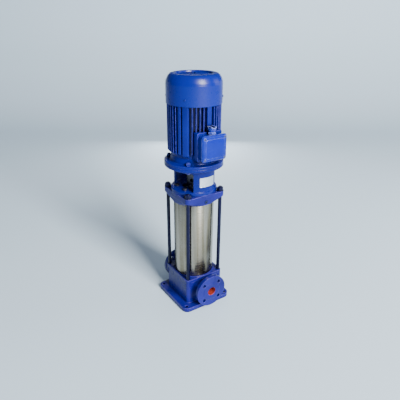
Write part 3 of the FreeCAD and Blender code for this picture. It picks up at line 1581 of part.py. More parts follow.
doc.recompute()
os.makedirs("parts", exist_ok=True)
for piece in PIECES:
    state = [word for word in piece.State if word in ("Invalid", "Error")]
    if state or piece.Shape.isNull() or not piece.Shape.isValid():
        raise SystemExit(f"{piece.Label} is not a sound solid: {piece.State}")
for piece in PIECES:
    piece.Shape.exportStep(f"parts/{piece.Label}.step")
    print(piece.Label, len(piece.Shape.Solids), round(piece.Shape.Volume))
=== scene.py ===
from math import cos, pi, radians, sin, tan

import bmesh
import bpy
from mathutils import Matrix, Vector


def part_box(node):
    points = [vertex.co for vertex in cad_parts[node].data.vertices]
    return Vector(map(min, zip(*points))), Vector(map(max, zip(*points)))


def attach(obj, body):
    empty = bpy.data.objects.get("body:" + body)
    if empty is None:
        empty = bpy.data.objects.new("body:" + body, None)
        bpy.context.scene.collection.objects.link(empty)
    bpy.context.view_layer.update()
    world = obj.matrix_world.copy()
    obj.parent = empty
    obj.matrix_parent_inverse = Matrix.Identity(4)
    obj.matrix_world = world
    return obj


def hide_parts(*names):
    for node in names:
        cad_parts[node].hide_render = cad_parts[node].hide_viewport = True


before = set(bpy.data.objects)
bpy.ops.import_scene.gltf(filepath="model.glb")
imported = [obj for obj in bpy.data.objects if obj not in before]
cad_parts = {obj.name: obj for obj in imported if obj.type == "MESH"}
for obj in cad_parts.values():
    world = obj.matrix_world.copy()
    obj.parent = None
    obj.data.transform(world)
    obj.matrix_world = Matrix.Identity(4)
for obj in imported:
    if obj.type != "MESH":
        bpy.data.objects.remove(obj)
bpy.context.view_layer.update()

# Camera
# It stands before the outlet flange, left of the pipe line and above the motor, and looks down on the near
# corner of the foot. The optical axis lies a little left of the picture's middle, which the shift repeats.
image_side = 400
sensor_width = 36.0
focal_pixels = 407.2
axis_pixel = 193.7
eye = Vector((1.3694, -0.8979, 1.2232))
eye_turn = radians(33.253)
eye_tilt = radians(24.23)
eye_roll = radians(0.2)
outward = Vector((cos(eye_turn), -sin(eye_turn), 0))
ahead = -outward * cos(eye_tilt) - Vector((0, 0, sin(eye_tilt)))
level_right = ahead.cross(Vector((0, 0, 1))).normalized()
level_up = level_right.cross(ahead)
right = level_right * cos(eye_roll) + level_up * sin(eye_roll)
up = level_up * cos(eye_roll) - level_right * sin(eye_roll)
camera_data = bpy.data.cameras.new("camera")
camera_data.sensor_width = sensor_width
camera_data.lens = focal_pixels * sensor_width / image_side
camera_data.shift_x = (image_side / 2 - axis_pixel) / image_side
camera = bpy.data.objects.new("camera", camera_data)
camera.matrix_world = Matrix.Translation(eye) @ Matrix((right, up, -ahead)).transposed().to_4x4()
bpy.context.scene.collection.objects.link(camera)
bpy.context.scene.camera = camera

# Floor and light
# A pale studio floor sweeps up to a low back wall, under a dim sky. The key light hangs over the outlet side
# and leaves the inlet side dark. A weak lamp lifts the right side, and another stands low behind the pump.
floor_reach = 30.0
sweep_start = 3.0
sweep_radius = 1.6
wall_top = 1.5
floor_line = [(-floor_reach, 0.0), (sweep_start, 0.0)]
for k in range(1, 10):
    turn = radians(9 * k)
    floor_line.append((sweep_start + sweep_radius * sin(turn), sweep_radius - sweep_radius * cos(turn)))
floor_line.append((sweep_start + sweep_radius, wall_top))
floor_shell = bmesh.new()
floor_rows = [[floor_shell.verts.new(-outward * along + level_right * side + Vector((0, 0, rise)))
               for side in (-floor_reach, floor_reach)] for along, rise in floor_line]
for near, far in zip(floor_rows, floor_rows[1:]):
    floor_shell.faces.new((near[0], near[1], far[1], far[0])).smooth = True
floor_mesh = bpy.data.meshes.new("studio_floor")
floor_shell.to_mesh(floor_mesh)
floor_shell.free()
floor = bpy.data.objects.new("studio_floor", floor_mesh)
bpy.context.scene.collection.objects.link(floor)
floor_paint = bpy.data.materials.new("floor_paint")
floor_paint.use_nodes = True
floor_nodes = floor_paint.node_tree.nodes
floor_shader = floor_nodes["Principled BSDF"]
floor_shader.inputs["Roughness"].default_value = 0.7
floor_noise = floor_nodes.new("ShaderNodeTexNoise")
floor_noise.inputs["Scale"].default_value = 3.0
floor_tone = floor_nodes.new("ShaderNodeValToRGB")
floor_tone.color_ramp.elements[0].color = (0.58, 0.72, 0.82, 1)
floor_tone.color_ramp.elements[1].color = (0.62, 0.76, 0.86, 1)
floor_paint.node_tree.links.new(floor_noise.outputs["Fac"], floor_tone.inputs["Fac"])
floor_paint.node_tree.links.new(floor_tone.outputs["Color"], floor_shader.inputs["Base Color"])
floor_mesh.materials.append(floor_paint)

sky = bpy.data.worlds.new("studio_sky")
sky.use_nodes = True
sky.node_tree.nodes["Background"].inputs["Color"].default_value = (0.12, 0.15, 0.20, 1)
bpy.context.scene.world = sky


def hang_lamp(name, place, target, width, height, power):
    lamp_data = bpy.data.lights.new(name, "AREA")
    lamp_data.shape = "RECTANGLE"
    lamp_data.size = width
    lamp_data.size_y = height
    lamp_data.energy = power
    lamp = bpy.data.objects.new(name, lamp_data)
    lamp.location = place
    lamp.rotation_euler = (Vector(target) - Vector(place)).to_track_quat("-Z", "Y").to_euler()
    bpy.context.scene.collection.objects.link(lamp)


hang_lamp("key_lamp", (7.2, 0.3, 4.9), (0, 0, 0.7), width=2.8, height=5.0, power=2100)
hang_lamp("right_fill", (1.0, 2.4, 1.6), (0, 0, 0.6), width=1.2, height=1.2, power=14)
hang_lamp("back_fill", (-2.2, 1.45, 0.6), (0, 0, 0.5), width=1.0, height=0.8, power=20)

# Base casing
# One grey iron casting: a square foot, a square box with a lip, four rod bosses and two opposed pipe flanges.
# Sand cast, so its edges are soft, then drilled, primed red in the bores and sprayed with blue enamel.


def new_piece(name, shell):
    bmesh.ops.recalc_face_normals(shell, faces=shell.faces)
    mesh = bpy.data.meshes.new(name)
    shell.to_mesh(mesh)
    shell.free()
    piece = bpy.data.objects.new(name, mesh)
    bpy.context.scene.collection.objects.link(piece)
    return piece


def skin(name, rings, ways=(Matrix(),)):
    """Closed skin over rings of equally many points, once for each way that places it."""
    shell = bmesh.new()
    count = len(rings[0])
    for way in ways:
        rows = [[shell.verts.new(way @ Vector(point)) for point in ring] for ring in rings]
        for low, high in zip(rows, rows[1:]):
            for i in range(count):
                j = (i + 1) % count
                shell.faces.new((low[i], low[j], high[j], high[i]))
        shell.faces.new(rows[0][::-1])
        shell.faces.new(rows[-1])
    return new_piece(name, shell)


def spin(name, outline, steps=128, ways=(Matrix(),)):
    """Turned piece: the closed outline of (radius, height) points carried round the Z axis."""
    shell = bmesh.new()
    for way in ways:
        rows = []
        for radius, height in outline:
            if radius < 1e-6:
                rows.append([shell.verts.new(way @ Vector((0, 0, height)))] * steps)
                continue
            rows.append([shell.verts.new(way @ Vector((radius * cos(2 * pi * i / steps),
                                                       radius * sin(2 * pi * i / steps), height)))
                         for i in range(steps)])
        for low, high in zip(rows, rows[1:] + rows[:1]):
            for i in range(steps):
                j = (i + 1) % steps
                corners = list(dict.fromkeys((low[i], low[j], high[j], high[i])))
                if len(corners) > 2:
                    shell.faces.new(corners)
    return new_piece(name, shell)


def eased(corners, steps=5):
    """Outline with round corners: each corner is (x, y, radius)."""
    outline = []
    for i, (x, y, radius) in enumerate(corners):
        here = Vector((x, y))
        if radius == 0:
            outline.append((x, y))
            continue
        back = (Vector(corners[i - 1][:2]) - here).normalized()
        onward = (Vector(corners[(i + 1) % len(corners)][:2]) - here).normalized()
        half = back.angle(onward) / 2
        centre = here + (back + onward).normalized() * radius / sin(half)
        first = here + back * radius / tan(half) - centre
        last = here + onward * radius / tan(half) - centre
        sweep = pi - 2 * half
        for k in range(steps + 1):
            part = k / steps
            spot = centre + (first * sin((1 - part) * sweep) + last * sin(part * sweep)) / sin(sweep)
            outline.append((spot.x, spot.y))
    return outline


def rounded_ring(half_x, half_y, corner, height, steps=8, middle=(0, 0)):
    x, y = middle
    flat = eased([(x + half_x, y - half_y, corner), (x + half_x, y + half_y, corner),
                  (x - half_x, y + half_y, corner), (x - half_x, y - half_y, corner)], steps)
    return [(a, b, height) for a, b in flat]


def slab(name, half, corner, low, high):
    return skin(name, [rounded_ring(half, half, corner, low), rounded_ring(half, half, corner, high)])


def drum(name, radius, low, high, ways=(Matrix(),), steps=72):
    return spin(name, [(0, low), (radius, low), (radius, high), (0, high)], steps, ways)


def settle(piece):
    """Turn the modifiers of a piece into its mesh."""
    graph = bpy.context.evaluated_depsgraph_get()
    mesh = bpy.data.meshes.new_from_object(piece.evaluated_get(graph), depsgraph=graph)
    piece.modifiers.clear()
    old_mesh = piece.data
    piece.data = mesh
    bpy.data.meshes.remove(old_mesh)


def combine(piece, others, operation="UNION"):
    for other in others:
        step = piece.modifiers.new(other.name, "BOOLEAN")
        step.object = other
        step.operation = operation
        step.solver = "EXACT"
    settle(piece)
    for other in others:
        bpy.data.objects.remove(other)
    return piece


def cast(piece, grain, passes, kept, node):
    """Give a piece the soft edges of a sand casting, inside the box of the node that it stands for."""
    skin_step = piece.modifiers.new("skin", "REMESH")
    skin_step.mode = "VOXEL"
    skin_step.voxel_size = grain
    soften = piece.modifiers.new("soften", "SMOOTH")
    soften.factor = 0.5
    soften.iterations = passes
    thin = piece.modifiers.new("thin", "DECIMATE")
    thin.ratio = kept
    settle(piece)
    lowest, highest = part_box(node)
    for vertex in piece.data.vertices:
        for axis in range(3):
            vertex.co[axis] = min(max(vertex.co[axis], lowest[axis]), highest[axis])


def shade(piece, finish, crease=35):
    """Lay a finish on a piece, smooth over its round parts and sharp at its corners."""
    piece.data.materials.clear()
    piece.data.materials.append(finish)
    shell = bmesh.new()
    shell.from_mesh(piece.data)
    for face in shell.faces:
        face.smooth = True
    for edge in shell.edges:
        edge.smooth = len(edge.link_faces) == 2 and edge.calc_face_angle(0) < radians(crease)
    shell.to_mesh(piece.data)
    shell.free()


def along_x(x=0, y=0, z=0):
    return Matrix.Translation((x, y, z)) @ Matrix(((0, 0, 1, 0), (1, 0, 0, 0), (0, 1, 0, 0), (0, 0, 0, 1)))


def around(radius, angles):
    return [Matrix.Rotation(radians(a), 4, "Z") @ Matrix.Translation((radius, 0, 0)) for a in angles]


def start_finish(name, metallic, roughness):
    finish = bpy.data.materials.new(name)
    finish.use_nodes = True
    shader = finish.node_tree.nodes["Principled BSDF"]
    shader.inputs["Metallic"].default_value = metallic
    shader.inputs["Roughness"].default_value = roughness
    return finish


def speckle(finish, scale, detail=2.0, stretch=(1, 1, 1)):
    """Noise over the piece itself, stretched along its axes where the finish has a direction."""
    nodes = finish.node_tree.nodes
    links = finish.node_tree.links
    place = nodes.new("ShaderNodeTexCoord")
    squeeze = nodes.new("ShaderNodeMapping")
    squeeze.inputs["Scale"].default_value = stretch
    grain = nodes.new("ShaderNodeTexNoise")
    grain.inputs["Scale"].default_value = scale
    grain.inputs["Detail"].default_value = detail
    links.new(place.outputs["Object"], squeeze.inputs["Vector"])
    links.new(squeeze.outputs["Vector"], grain.inputs["Vector"])
    return grain.outputs["Fac"]


def steps_of(finish, source, stops):
    """Colour ramp over a source: each stop is (position, colour), or (position, value) for a grey."""
    ramp = finish.node_tree.nodes.new("ShaderNodeValToRGB")
    while len(ramp.color_ramp.elements) < len(stops):
        ramp.color_ramp.elements.new(0.5)
    for element, (position, colour) in zip(ramp.color_ramp.elements, stops):
        element.position = position
        element.color = (*colour, 1) if isinstance(colour, tuple) else (colour, colour, colour, 1)
    finish.node_tree.links.new(source, ramp.inputs["Fac"])
    return ramp.outputs["Color"]


def laid_over(finish, base, top_colour, amount):
    mix = finish.node_tree.nodes.new("ShaderNodeMix")
    mix.data_type = "RGBA"
    finish.node_tree.links.new(amount, mix.inputs["Factor"])
    finish.node_tree.links.new(base, mix.inputs[6])
    mix.inputs[7].default_value = (*top_colour, 1)
    return mix.outputs[2]


def times(finish, first, second):
    product = finish.node_tree.nodes.new("ShaderNodeMath")
    product.operation = "MULTIPLY"
    finish.node_tree.links.new(first, product.inputs[0])
    finish.node_tree.links.new(second, product.inputs[1])
    return product.outputs[0]


def grain_relief(finish, source, depth, strength, under=None):
    """Bump from a source, laid over an earlier bump where one is given."""
    bump = finish.node_tree.nodes.new("ShaderNodeBump")
    bump.inputs["Distance"].default_value = depth
    bump.inputs["Strength"].default_value = strength
    finish.node_tree.links.new(source, bump.inputs["Height"])
    if under is not None:
        finish.node_tree.links.new(under, bump.inputs["Normal"])
    return bump.outputs["Normal"]


def wire(finish, **ends):
    shader = finish.node_tree.nodes["Principled BSDF"]
    for socket, source in ends.items():
        finish.node_tree.links.new(source, shader.inputs[socket.replace("_", " ")])
    return finish


def enamel(name, deep, bright, edge_highlight_colour, grain, relief, edge_highlight_amount=1.0, brink=0.0035):
    """Machine enamel: its tone drifts, with a painted highlight on edges and painted shade in hollows, over
    the grain of the iron.
    """
    finish = start_finish(name, 0, 0.3)
    nodes = finish.node_tree.nodes
    nodes["Principled BSDF"].inputs["Specular IOR Level"].default_value = 0.2
    drift = steps_of(finish, speckle(finish, 7, 3), [(0.3, deep), (0.7, bright)])
    # Painted highlight: the rounded edges, found through the bevel normal, take a paler colour, broken up by
    # noise.
    rounded = nodes.new("ShaderNodeBevel")
    rounded.samples = 6
    rounded.inputs["Radius"].default_value = brink
    bend = nodes.new("ShaderNodeVectorMath")
    bend.operation = "DOT_PRODUCT"
    finish.node_tree.links.new(rounded.outputs["Normal"], bend.inputs[0])
    finish.node_tree.links.new(nodes.new("ShaderNodeNewGeometry").outputs["Normal"], bend.inputs[1])
    edge = steps_of(finish, bend.outputs["Value"], [(0.9, edge_highlight_amount), (0.993, 0)])
    patchy = steps_of(finish, speckle(finish, 60, 4), [(0.35, 0.25), (0.65, 1)])
    coloured = laid_over(finish, drift, edge_highlight_colour, times(finish, edge, patchy))
    # Painted shade: ambient occlusion darkens hollows, rib gaps and holes toward a fifth of the deep colour.
    nook = nodes.new("ShaderNodeAmbientOcclusion")
    nook.samples = 8
    nook.inputs["Distance"].default_value = 0.016
    painted_shade_mask = steps_of(finish, nook.outputs["AO"], [(0.25, 0.95), (0.8, 0)])
    painted_shade_colour = tuple(0.2 * part for part in deep)
    coloured = laid_over(finish, coloured, painted_shade_colour, painted_shade_mask)
    gloss = steps_of(finish, speckle(finish, 35, 4), [(0.3, 0.24), (0.7, 0.34)])
    peel = grain_relief(finish, speckle(finish, 700, 2), 0.0002, 0.2)
    rough = grain_relief(finish, speckle(finish, grain, 5), relief, 0.4, peel)
    return wire(finish, Base_Color=coloured, Roughness=gloss, Normal=rough)


casing_paint = enamel("casing_paint", deep=(0.005, 0.005, 0.10), bright=(0.014, 0.012, 0.21),
                      edge_highlight_colour=(0.20, 0.17, 0.60), grain=260, relief=0.0004)

foot_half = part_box("base_casing")[1].y
foot_thick = 0.020
foot_corner = 0.028
anchor_offset = 0.105
anchor_radius = 0.007
casing_half = 0.091
casing_corner = 0.014
casing_top = 0.145
lip_half = 0.095
lip_corner = 0.015
lip_low = 0.130
boss_radius = 0.0125
boss_low = 0.104
rod_offset = 0.082
seat_ring_radius = 0.092
seat_ring_top = 0.148
pipe_height = 0.091
pipe_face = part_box("base_casing")[1].x
pipe_bore = 0.020
neck_start = 0.080
neck_radius = 0.034
flange_back = 0.132
flange_radius = 0.075
flange_front = 0.150
raised_radius = 0.042
flange_bolt_circle = 0.055
flange_hole = 0.009
well_radius = 0.046
well_floor = 0.052
chamber_inner = 0.058
chamber_outer = 0.083
chamber_floor = 0.130
gasket_outer = 0.088
gasket_floor = 0.139
past_face = 0.16
diagonals = (45, 135, 225, 315)
both_ways = [Matrix(), Matrix.Rotation(pi, 4, "Z")]
pipe_ways = [turn @ along_x(0, 0, pipe_height) for turn in both_ways]
rod_ways = around(rod_offset * 2 ** 0.5, diagonals)

casing = slab("casing", foot_half, foot_corner, 0, foot_thick)
flange_outline = eased([(0, neck_start, 0), (neck_radius, neck_start, 0), (neck_radius, flange_back, 0.006),
                        (flange_radius, flange_back, 0.002), (flange_radius, flange_front, 0.002),
                        (raised_radius, flange_front, 0.001), (raised_radius, pipe_face, 0.001),
                        (0, pipe_face, 0)])
iron = [
    slab("box", casing_half, casing_corner, 0.010, casing_top),
    slab("lip", lip_half, lip_corner, lip_low, casing_top),
    drum("bosses", boss_radius, boss_low, casing_top, rod_ways),
    drum("seat_ring", seat_ring_radius, 0.140, seat_ring_top, steps=128),
]
iron += [spin("pipe_flange", flange_outline, 96, [way]) for way in pipe_ways]
combine(casing, iron)
bolt_ways = [way @ Matrix.Rotation(radians(a), 4, "Z") @ Matrix.Translation((flange_bolt_circle, 0, 0))
             for way in pipe_ways for a in diagonals]
combine(casing, [
    drum("anchor_holes", anchor_radius, -0.01, 0.03, around(anchor_offset * 2 ** 0.5, diagonals)),
    drum("well", well_radius, well_floor, past_face),
    spin("annulus", [(chamber_inner, chamber_floor), (chamber_outer, chamber_floor),
                     (chamber_outer, gasket_floor), (gasket_outer, gasket_floor),
                     (gasket_outer, past_face), (chamber_inner, past_face)]),
    drum("outlet", pipe_bore, 0.064, past_face, pipe_ways[:1]),
    drum("inlet", pipe_bore, 0.040, past_face, pipe_ways[1:]),
    drum("flange_holes", flange_hole, 0.12, past_face, bolt_ways, 48),
], "DIFFERENCE")
cast(casing, 0.0013, 5, 0.3, "base_casing")
shade(casing, casing_paint)

primer_depth = 0.088
primer = start_finish("bore_primer", 0, 0.6)
primer_tone = steps_of(primer, speckle(primer, 90, 4),
                       [(0.3, (0.20, 0.015, 0.008)), (0.7, (0.42, 0.045, 0.022))])
wire(primer, Base_Color=primer_tone, Normal=grain_relief(primer, speckle(primer, 500, 5), 0.0004, 0.5))
casing.data.materials.append(primer)
for face in casing.data.polygons:
    spot = face.center
    off_axis = (spot.y ** 2 + (spot.z - pipe_height) ** 2) ** 0.5
    if off_axis < pipe_bore + 0.0008 and primer_depth < abs(spot.x) < pipe_face - 0.001:
        face.material_index = 1
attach(casing, "pump_body")
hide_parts("base_casing")

# Drain plug
# A steel hexagon plug on a round collar. It is screwed into the side of the casing, low down, and was
# painted together with it.
drain_height = 0.064
collar_radius = 0.0105
collar_face = 0.0025


def hexagon_rings(flats, low, high, chamfer_low=False, steps=72):
    """Six flats with the round chamfer that a lathe leaves on a forged head or nut."""
    apothem = flats / 2
    crown = apothem * 0.95
    rings = []
    for height, side, chamfered in ((low, 1, chamfer_low), (high, -1, True)):
        inner = []
        outer = []
        for i in range(steps):
            angle = 2 * pi * i / steps
            reach = apothem / cos((angle + pi / 6) % (pi / 3) - pi / 6)
            drop = (reach - crown) * tan(pi / 6) if chamfered else 0
            outer.append((reach * cos(angle), reach * sin(angle), height + side * drop))
            inner.append((crown * cos(angle), crown * sin(angle), height))
        if not chamfered:
            rings.append(outer)
        elif side > 0:
            rings += [inner, outer]
        else:
            rings += [outer, inner]
    return rings


drain_way = Matrix.Translation((0, casing_half, drain_height)) @ Matrix.Rotation(-pi / 2, 4, "X")
drain_plug = spin("drain_plug", eased([(0, -0.004, 0), (collar_radius, -0.004, 0),
                                       (collar_radius, collar_face, 0.0008), (0, collar_face, 0)]),
                  72, [drain_way])
combine(drain_plug, [skin("drain_hexagon", hexagon_rings(0.017, 0.002, 0.010), [drain_way])])
shade(drain_plug, casing_paint, 25)
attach(drain_plug, "pump_body")
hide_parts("drain_plug")

# Wet end
# The inlet bowl with its bush, and five bowls with closed impellers, stacked on the casing in the sleeve.
# Bowls and impellers are stainless steel, the bush is bronze, and all keep their shape from the frame.


def worked(name, metallic, dark, light, gloss, scale, stretch=(1, 1, 1)):
    """Finish whose tone, gloss and fine ridges follow one grain, which may run along the piece."""
    finish = start_finish(name, metallic, sum(gloss) / 2)
    tone = steps_of(finish, speckle(finish, scale, 4, stretch), [(0.3, dark), (0.7, light)])
    shine = steps_of(finish, speckle(finish, scale / 3, 3, stretch), [(0.3, gloss[0]), (0.7, gloss[1])])
    ridges = grain_relief(finish, speckle(finish, scale * 3, 3, stretch), 0.0001, 0.3)
    return wire(finish, Base_Color=tone, Roughness=shine, Normal=ridges)


def dress(finish, names):
    """Lay a finish on pieces that keep their shape from the frame."""
    for name in names:
        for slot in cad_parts[name].material_slots:
            slot.material = finish


stage_steel = worked("stage_steel", 1, (0.48, 0.48, 0.48), (0.62, 0.62, 0.61), (0.25, 0.4), 150)
bush_bronze = worked("bush_bronze", 1, (0.45, 0.28, 0.10), (0.62, 0.42, 0.18), (0.3, 0.45), 150)
dress(stage_steel, ["inlet_bowl"])
dress(stage_steel, ["stage_bowl_%d" % i for i in range(1, 6)])
dress(stage_steel, ["impeller_%d" % i for i in range(1, 6)])
dress(bush_bronze, ["lower_bush"])

# Shafts with spacers, nut and key
# Ground stainless shafts of pump and motor, turned along their length. Spacers part the impellers, the nut
# clamps them, and the key drives the coupling.
shaft_steel = worked("shaft_steel", 1, (0.45, 0.45, 0.46), (0.58, 0.58, 0.58), (0.2, 0.35), 60, (1, 1, 12))
dress(shaft_steel, ["pump_shaft", "motor_shaft", "shaft_spacers", "impeller_nut", "coupling_key"])

# Outer sleeve
# A tube of thin stainless sheet, rolled, seam welded and polished round the axis. It is clamped between the
# casing and the head.
sleeve_low, sleeve_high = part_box("outer_sleeve")
sleeve_inner = 0.086
sleeve_edge = 0.0004
sleeve_steel = start_finish("sleeve_steel", 1.0, 0.25)
sleeve_shader = sleeve_steel.node_tree.nodes["Principled BSDF"]
sleeve_shader.inputs["Anisotropic"].default_value = 0.8
sleeve_shader.inputs["Anisotropic Rotation"].default_value = 0.25
round_axis = sleeve_steel.node_tree.nodes.new("ShaderNodeTangent")
round_axis.direction_type = "RADIAL"
round_axis.axis = "Z"
rub = speckle(sleeve_steel, 30, 5, (1, 1, 26))
# The dark, brown and pale vertical bands and patches in the sleeve's colour are painted reflections of the
# surroundings.
painted_reflection_bands = speckle(sleeve_steel, 26, 2, (1, 1, 0.04))
pale_reflection_mask = steps_of(sleeve_steel, speckle(sleeve_steel, 11, 4), [(0.35, 0.05), (0.7, 0.35)])
painted_reflection_tone = steps_of(sleeve_steel, painted_reflection_bands, [(0.40, (0.035, 0.022, 0.014)), (0.49, (0.20, 0.165, 0.095)),
                                           (0.60, (0.38, 0.335, 0.27))])
steel_tone = laid_over(sleeve_steel, painted_reflection_tone, (0.42, 0.39, 0.33), pale_reflection_mask)
steel_gloss = steps_of(sleeve_steel, rub, [(0.3, 0.17), (0.7, 0.31)])
steel_lines = grain_relief(sleeve_steel, speckle(sleeve_steel, 60, 3, (1, 1, 40)), 0.0001, 0.12)
wire(sleeve_steel, Base_Color=steel_tone, Roughness=steel_gloss, Normal=steel_lines,
     Tangent=round_axis.outputs["Tangent"])
sleeve = spin("sleeve", eased([(sleeve_inner, sleeve_low.z, sleeve_edge),
                               (sleeve_high.x, sleeve_low.z, sleeve_edge),
                               (sleeve_high.x, sleeve_high.z, sleeve_edge),
                               (sleeve_inner, sleeve_high.z, sleeve_edge)], 2), 192)
shade(sleeve, sleeve_steel)
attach(sleeve, "pump_body")
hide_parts("outer_sleeve")

# Gaskets
# Flat rings of black rubber in the casing and the head, on which the sleeve ends stand, and a flat rubber
# frame under the lid of the terminal box.
gasket_rubber = worked("gasket_rubber", 0, (0.01, 0.01, 0.01), (0.03, 0.03, 0.03), (0.6, 0.8), 200)
dress(gasket_rubber, ["sleeve_gaskets", "lid_gasket"])

# Tie rods with washers and nuts
# Four round steel rods screwed into the casing bosses. A flat washer and a hexagon nut on each clamp the
# head down, and all of it was sprayed blue after assembly.
rod_paint = enamel("rod_paint", deep=(0.0008, 0.001, 0.012), bright=(0.003, 0.003, 0.032),
                   edge_highlight_colour=(0.02, 0.02, 0.15), grain=420, relief=0.0002, edge_highlight_amount=0.5)
rod_radius = 0.008
rod_pitch = 0.0015
rod_low, rod_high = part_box("tie_rods")
nut_low, nut_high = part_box("tie_rod_nuts")
nut_flats = 0.024
washer_low = 0.543
washer_high = 0.546
washer_inner = 0.0086
washer_outer = 0.015


def thread_rings(radius, low, high, pitch, steps=36):
    """Rings of a screw thread that climbs one pitch a turn, with a chamfered tip."""
    rings = []
    levels = int((high - low) / pitch * 6)
    for level in range(levels + 1):
        height = low + (high - low) * level / levels
        tip = max(0, height - (high - pitch)) * 0.8
        ring = []
        for i in range(steps):
            phase = (height / pitch - i / steps) % 1
            depth = 0.55 * pitch * abs(2 * phase - 1)
            reach = radius - max(depth, tip)
            ring.append((reach * cos(2 * pi * i / steps), reach * sin(2 * pi * i / steps), height))
        rings.append(ring)
    return rings


rods = spin("rods", eased([(0, rod_low.z, 0), (rod_radius, rod_low.z, 0.0005),
                           (rod_radius, nut_low.z + 0.004, 0), (0, nut_low.z + 0.004, 0)]), 48, rod_ways)
combine(rods, [skin("rod_thread", thread_rings(rod_radius, nut_low.z + 0.0035, rod_high.z, rod_pitch),
                    rod_ways)])
shade(rods, rod_paint, 50)
washers = spin("rod_washers", eased([
    (washer_inner, washer_low, 0.0003), (washer_outer, washer_low, 0.0003),
    (washer_outer, washer_high, 0.0006), (washer_inner, washer_high, 0.0003)], 3), 64, rod_ways)
shade(washers, rod_paint)
nuts = skin("rod_nuts", hexagon_rings(nut_flats, nut_low.z, nut_high.z, True), rod_ways)
combine(nuts, [drum("nut_bores", rod_radius + 0.0002, 0.54, 0.57, rod_ways, 48)], "DIFFERENCE")
shade(nuts, rod_paint, 25)
for piece, node in ((rods, "tie_rods"), (washers, "tie_rod_washers"), (nuts, "tie_rod_nuts")):
    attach(piece, "pump_body")
    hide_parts(node)

# Upper head
# The iron casting that closes the sleeve: a square plate with rod holes in its corners, on a skirt that is
# round where it takes the sleeve and spreads to the corners above, and a round seat for the stool.
head_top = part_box("upper_head")[1].z
head_low = 0.498
head_half = 0.097
head_corner = 0.016
skirt_half = 0.095
skirt_corner = 0.094
slab_low = 0.520
slab_high = 0.543
base_radius = 0.099
sleeve_room = 0.0883
shaft_room = 0.026
vent_height = 0.512
vent_seat = 0.0942
vent_way = along_x(0, 0, vent_height)
head = skin("head", [rounded_ring(skirt_half, skirt_half, skirt_corner, head_low, 16),
                     rounded_ring(0.096, 0.096, head_corner, slab_low, 16),
                     rounded_ring(head_half, head_half, head_corner, slab_low + 0.001, 16),
                     rounded_ring(head_half, head_half, head_corner, slab_high, 16)])
combine(head, [drum("stool_seat", base_radius, 0.535, head_top, steps=128)])
combine(head, [
    drum("rod_holes", rod_radius + 0.0005, 0.48, 0.56, rod_ways, 48),
    spin("sleeve_room", [(0, 0.49), (sleeve_room, 0.49), (sleeve_room, 0.506), (chamber_outer, 0.506),
                         (chamber_outer, slab_low), (0, slab_low)]),
    drum("shaft_room", shaft_room, 0.51, 0.56),
    drum("vent_face", 0.0078, vent_seat, 0.11, [vent_way], 48),
    drum("vent_hole", 0.00505, 0.07, 0.11, [vent_way], 48),
], "DIFFERENCE")
cast(head, 0.0011, 4, 0.35, "upper_head")
shade(head, casing_paint)
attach(head, "pump_body")
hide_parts("upper_head")

# Vent plug
# A small dark plug with a hexagon socket, screwed against a spot face of the skirt. It lets the air out when
# the pump is filled.
plug_paint = start_finish("plug_paint", 0, 0.5)
plug_paint.node_tree.nodes["Principled BSDF"].inputs["Specular IOR Level"].default_value = 0.2
plug_tone = steps_of(plug_paint, speckle(plug_paint, 300, 3),
                     [(0.3, (0.006, 0.008, 0.03)), (0.7, (0.02, 0.03, 0.10))])
plug_grain = grain_relief(plug_paint, speckle(plug_paint, 900, 2), 0.0001, 0.3)
wire(plug_paint, Base_Color=plug_tone, Normal=plug_grain)
vent_low, vent_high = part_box("vent_plug")
vent_thread = 0.005
vent_head = 0.007
socket_reach = 0.0035
vent_plug = spin("vent_plug", eased([(0, vent_low.x, 0), (vent_thread, vent_low.x, 0),
                                     (vent_thread, vent_seat, 0), (vent_head, vent_seat, 0),
                                     (vent_head, vent_high.x, 0.0008), (0, vent_high.x, 0)]), 64, [vent_way])
socket_rings = [[(socket_reach * cos(radians(60 * i)), socket_reach * sin(radians(60 * i)), height)
                 for i in range(6)] for height in (vent_high.x - 0.0035, vent_high.x + 0.001)]
combine(vent_plug, [skin("vent_socket", socket_rings, [vent_way])], "DIFFERENCE")
shade(vent_plug, plug_paint)
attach(vent_plug, "pump_body")
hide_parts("vent_plug")

# Shaft seal
# A grey iron cover on the head, held by four plated screws, carries a ceramic seat. A carbon ring turns
# against it with the shaft, and both faces are lapped.
bolt_steel = start_finish("bolt_steel", 1.0, 0.35)
bolt_tone = steps_of(bolt_steel, speckle(bolt_steel, 200, 4),
                     [(0.3, (0.07, 0.07, 0.08)), (0.7, (0.15, 0.15, 0.16))])
bolt_grain = grain_relief(bolt_steel, speckle(bolt_steel, 900, 3), 0.0001, 0.3)
wire(bolt_steel, Base_Color=bolt_tone, Normal=bolt_grain)
cover_iron = worked("cover_iron", 1, (0.10, 0.10, 0.11), (0.20, 0.20, 0.21), (0.35, 0.5), 150)
seal_ceramic = worked("seal_ceramic", 0, (0.72, 0.70, 0.64), (0.85, 0.84, 0.80), (0.15, 0.25), 200)
seal_carbon = worked("seal_carbon", 0, (0.02, 0.02, 0.02), (0.05, 0.05, 0.05), (0.35, 0.5), 200)
dress(cover_iron, ["seal_cover"])
dress(bolt_steel, ["seal_cover_screws"])
dress(seal_ceramic, ["seal_seat"])
dress(seal_carbon, ["seal_ring"])

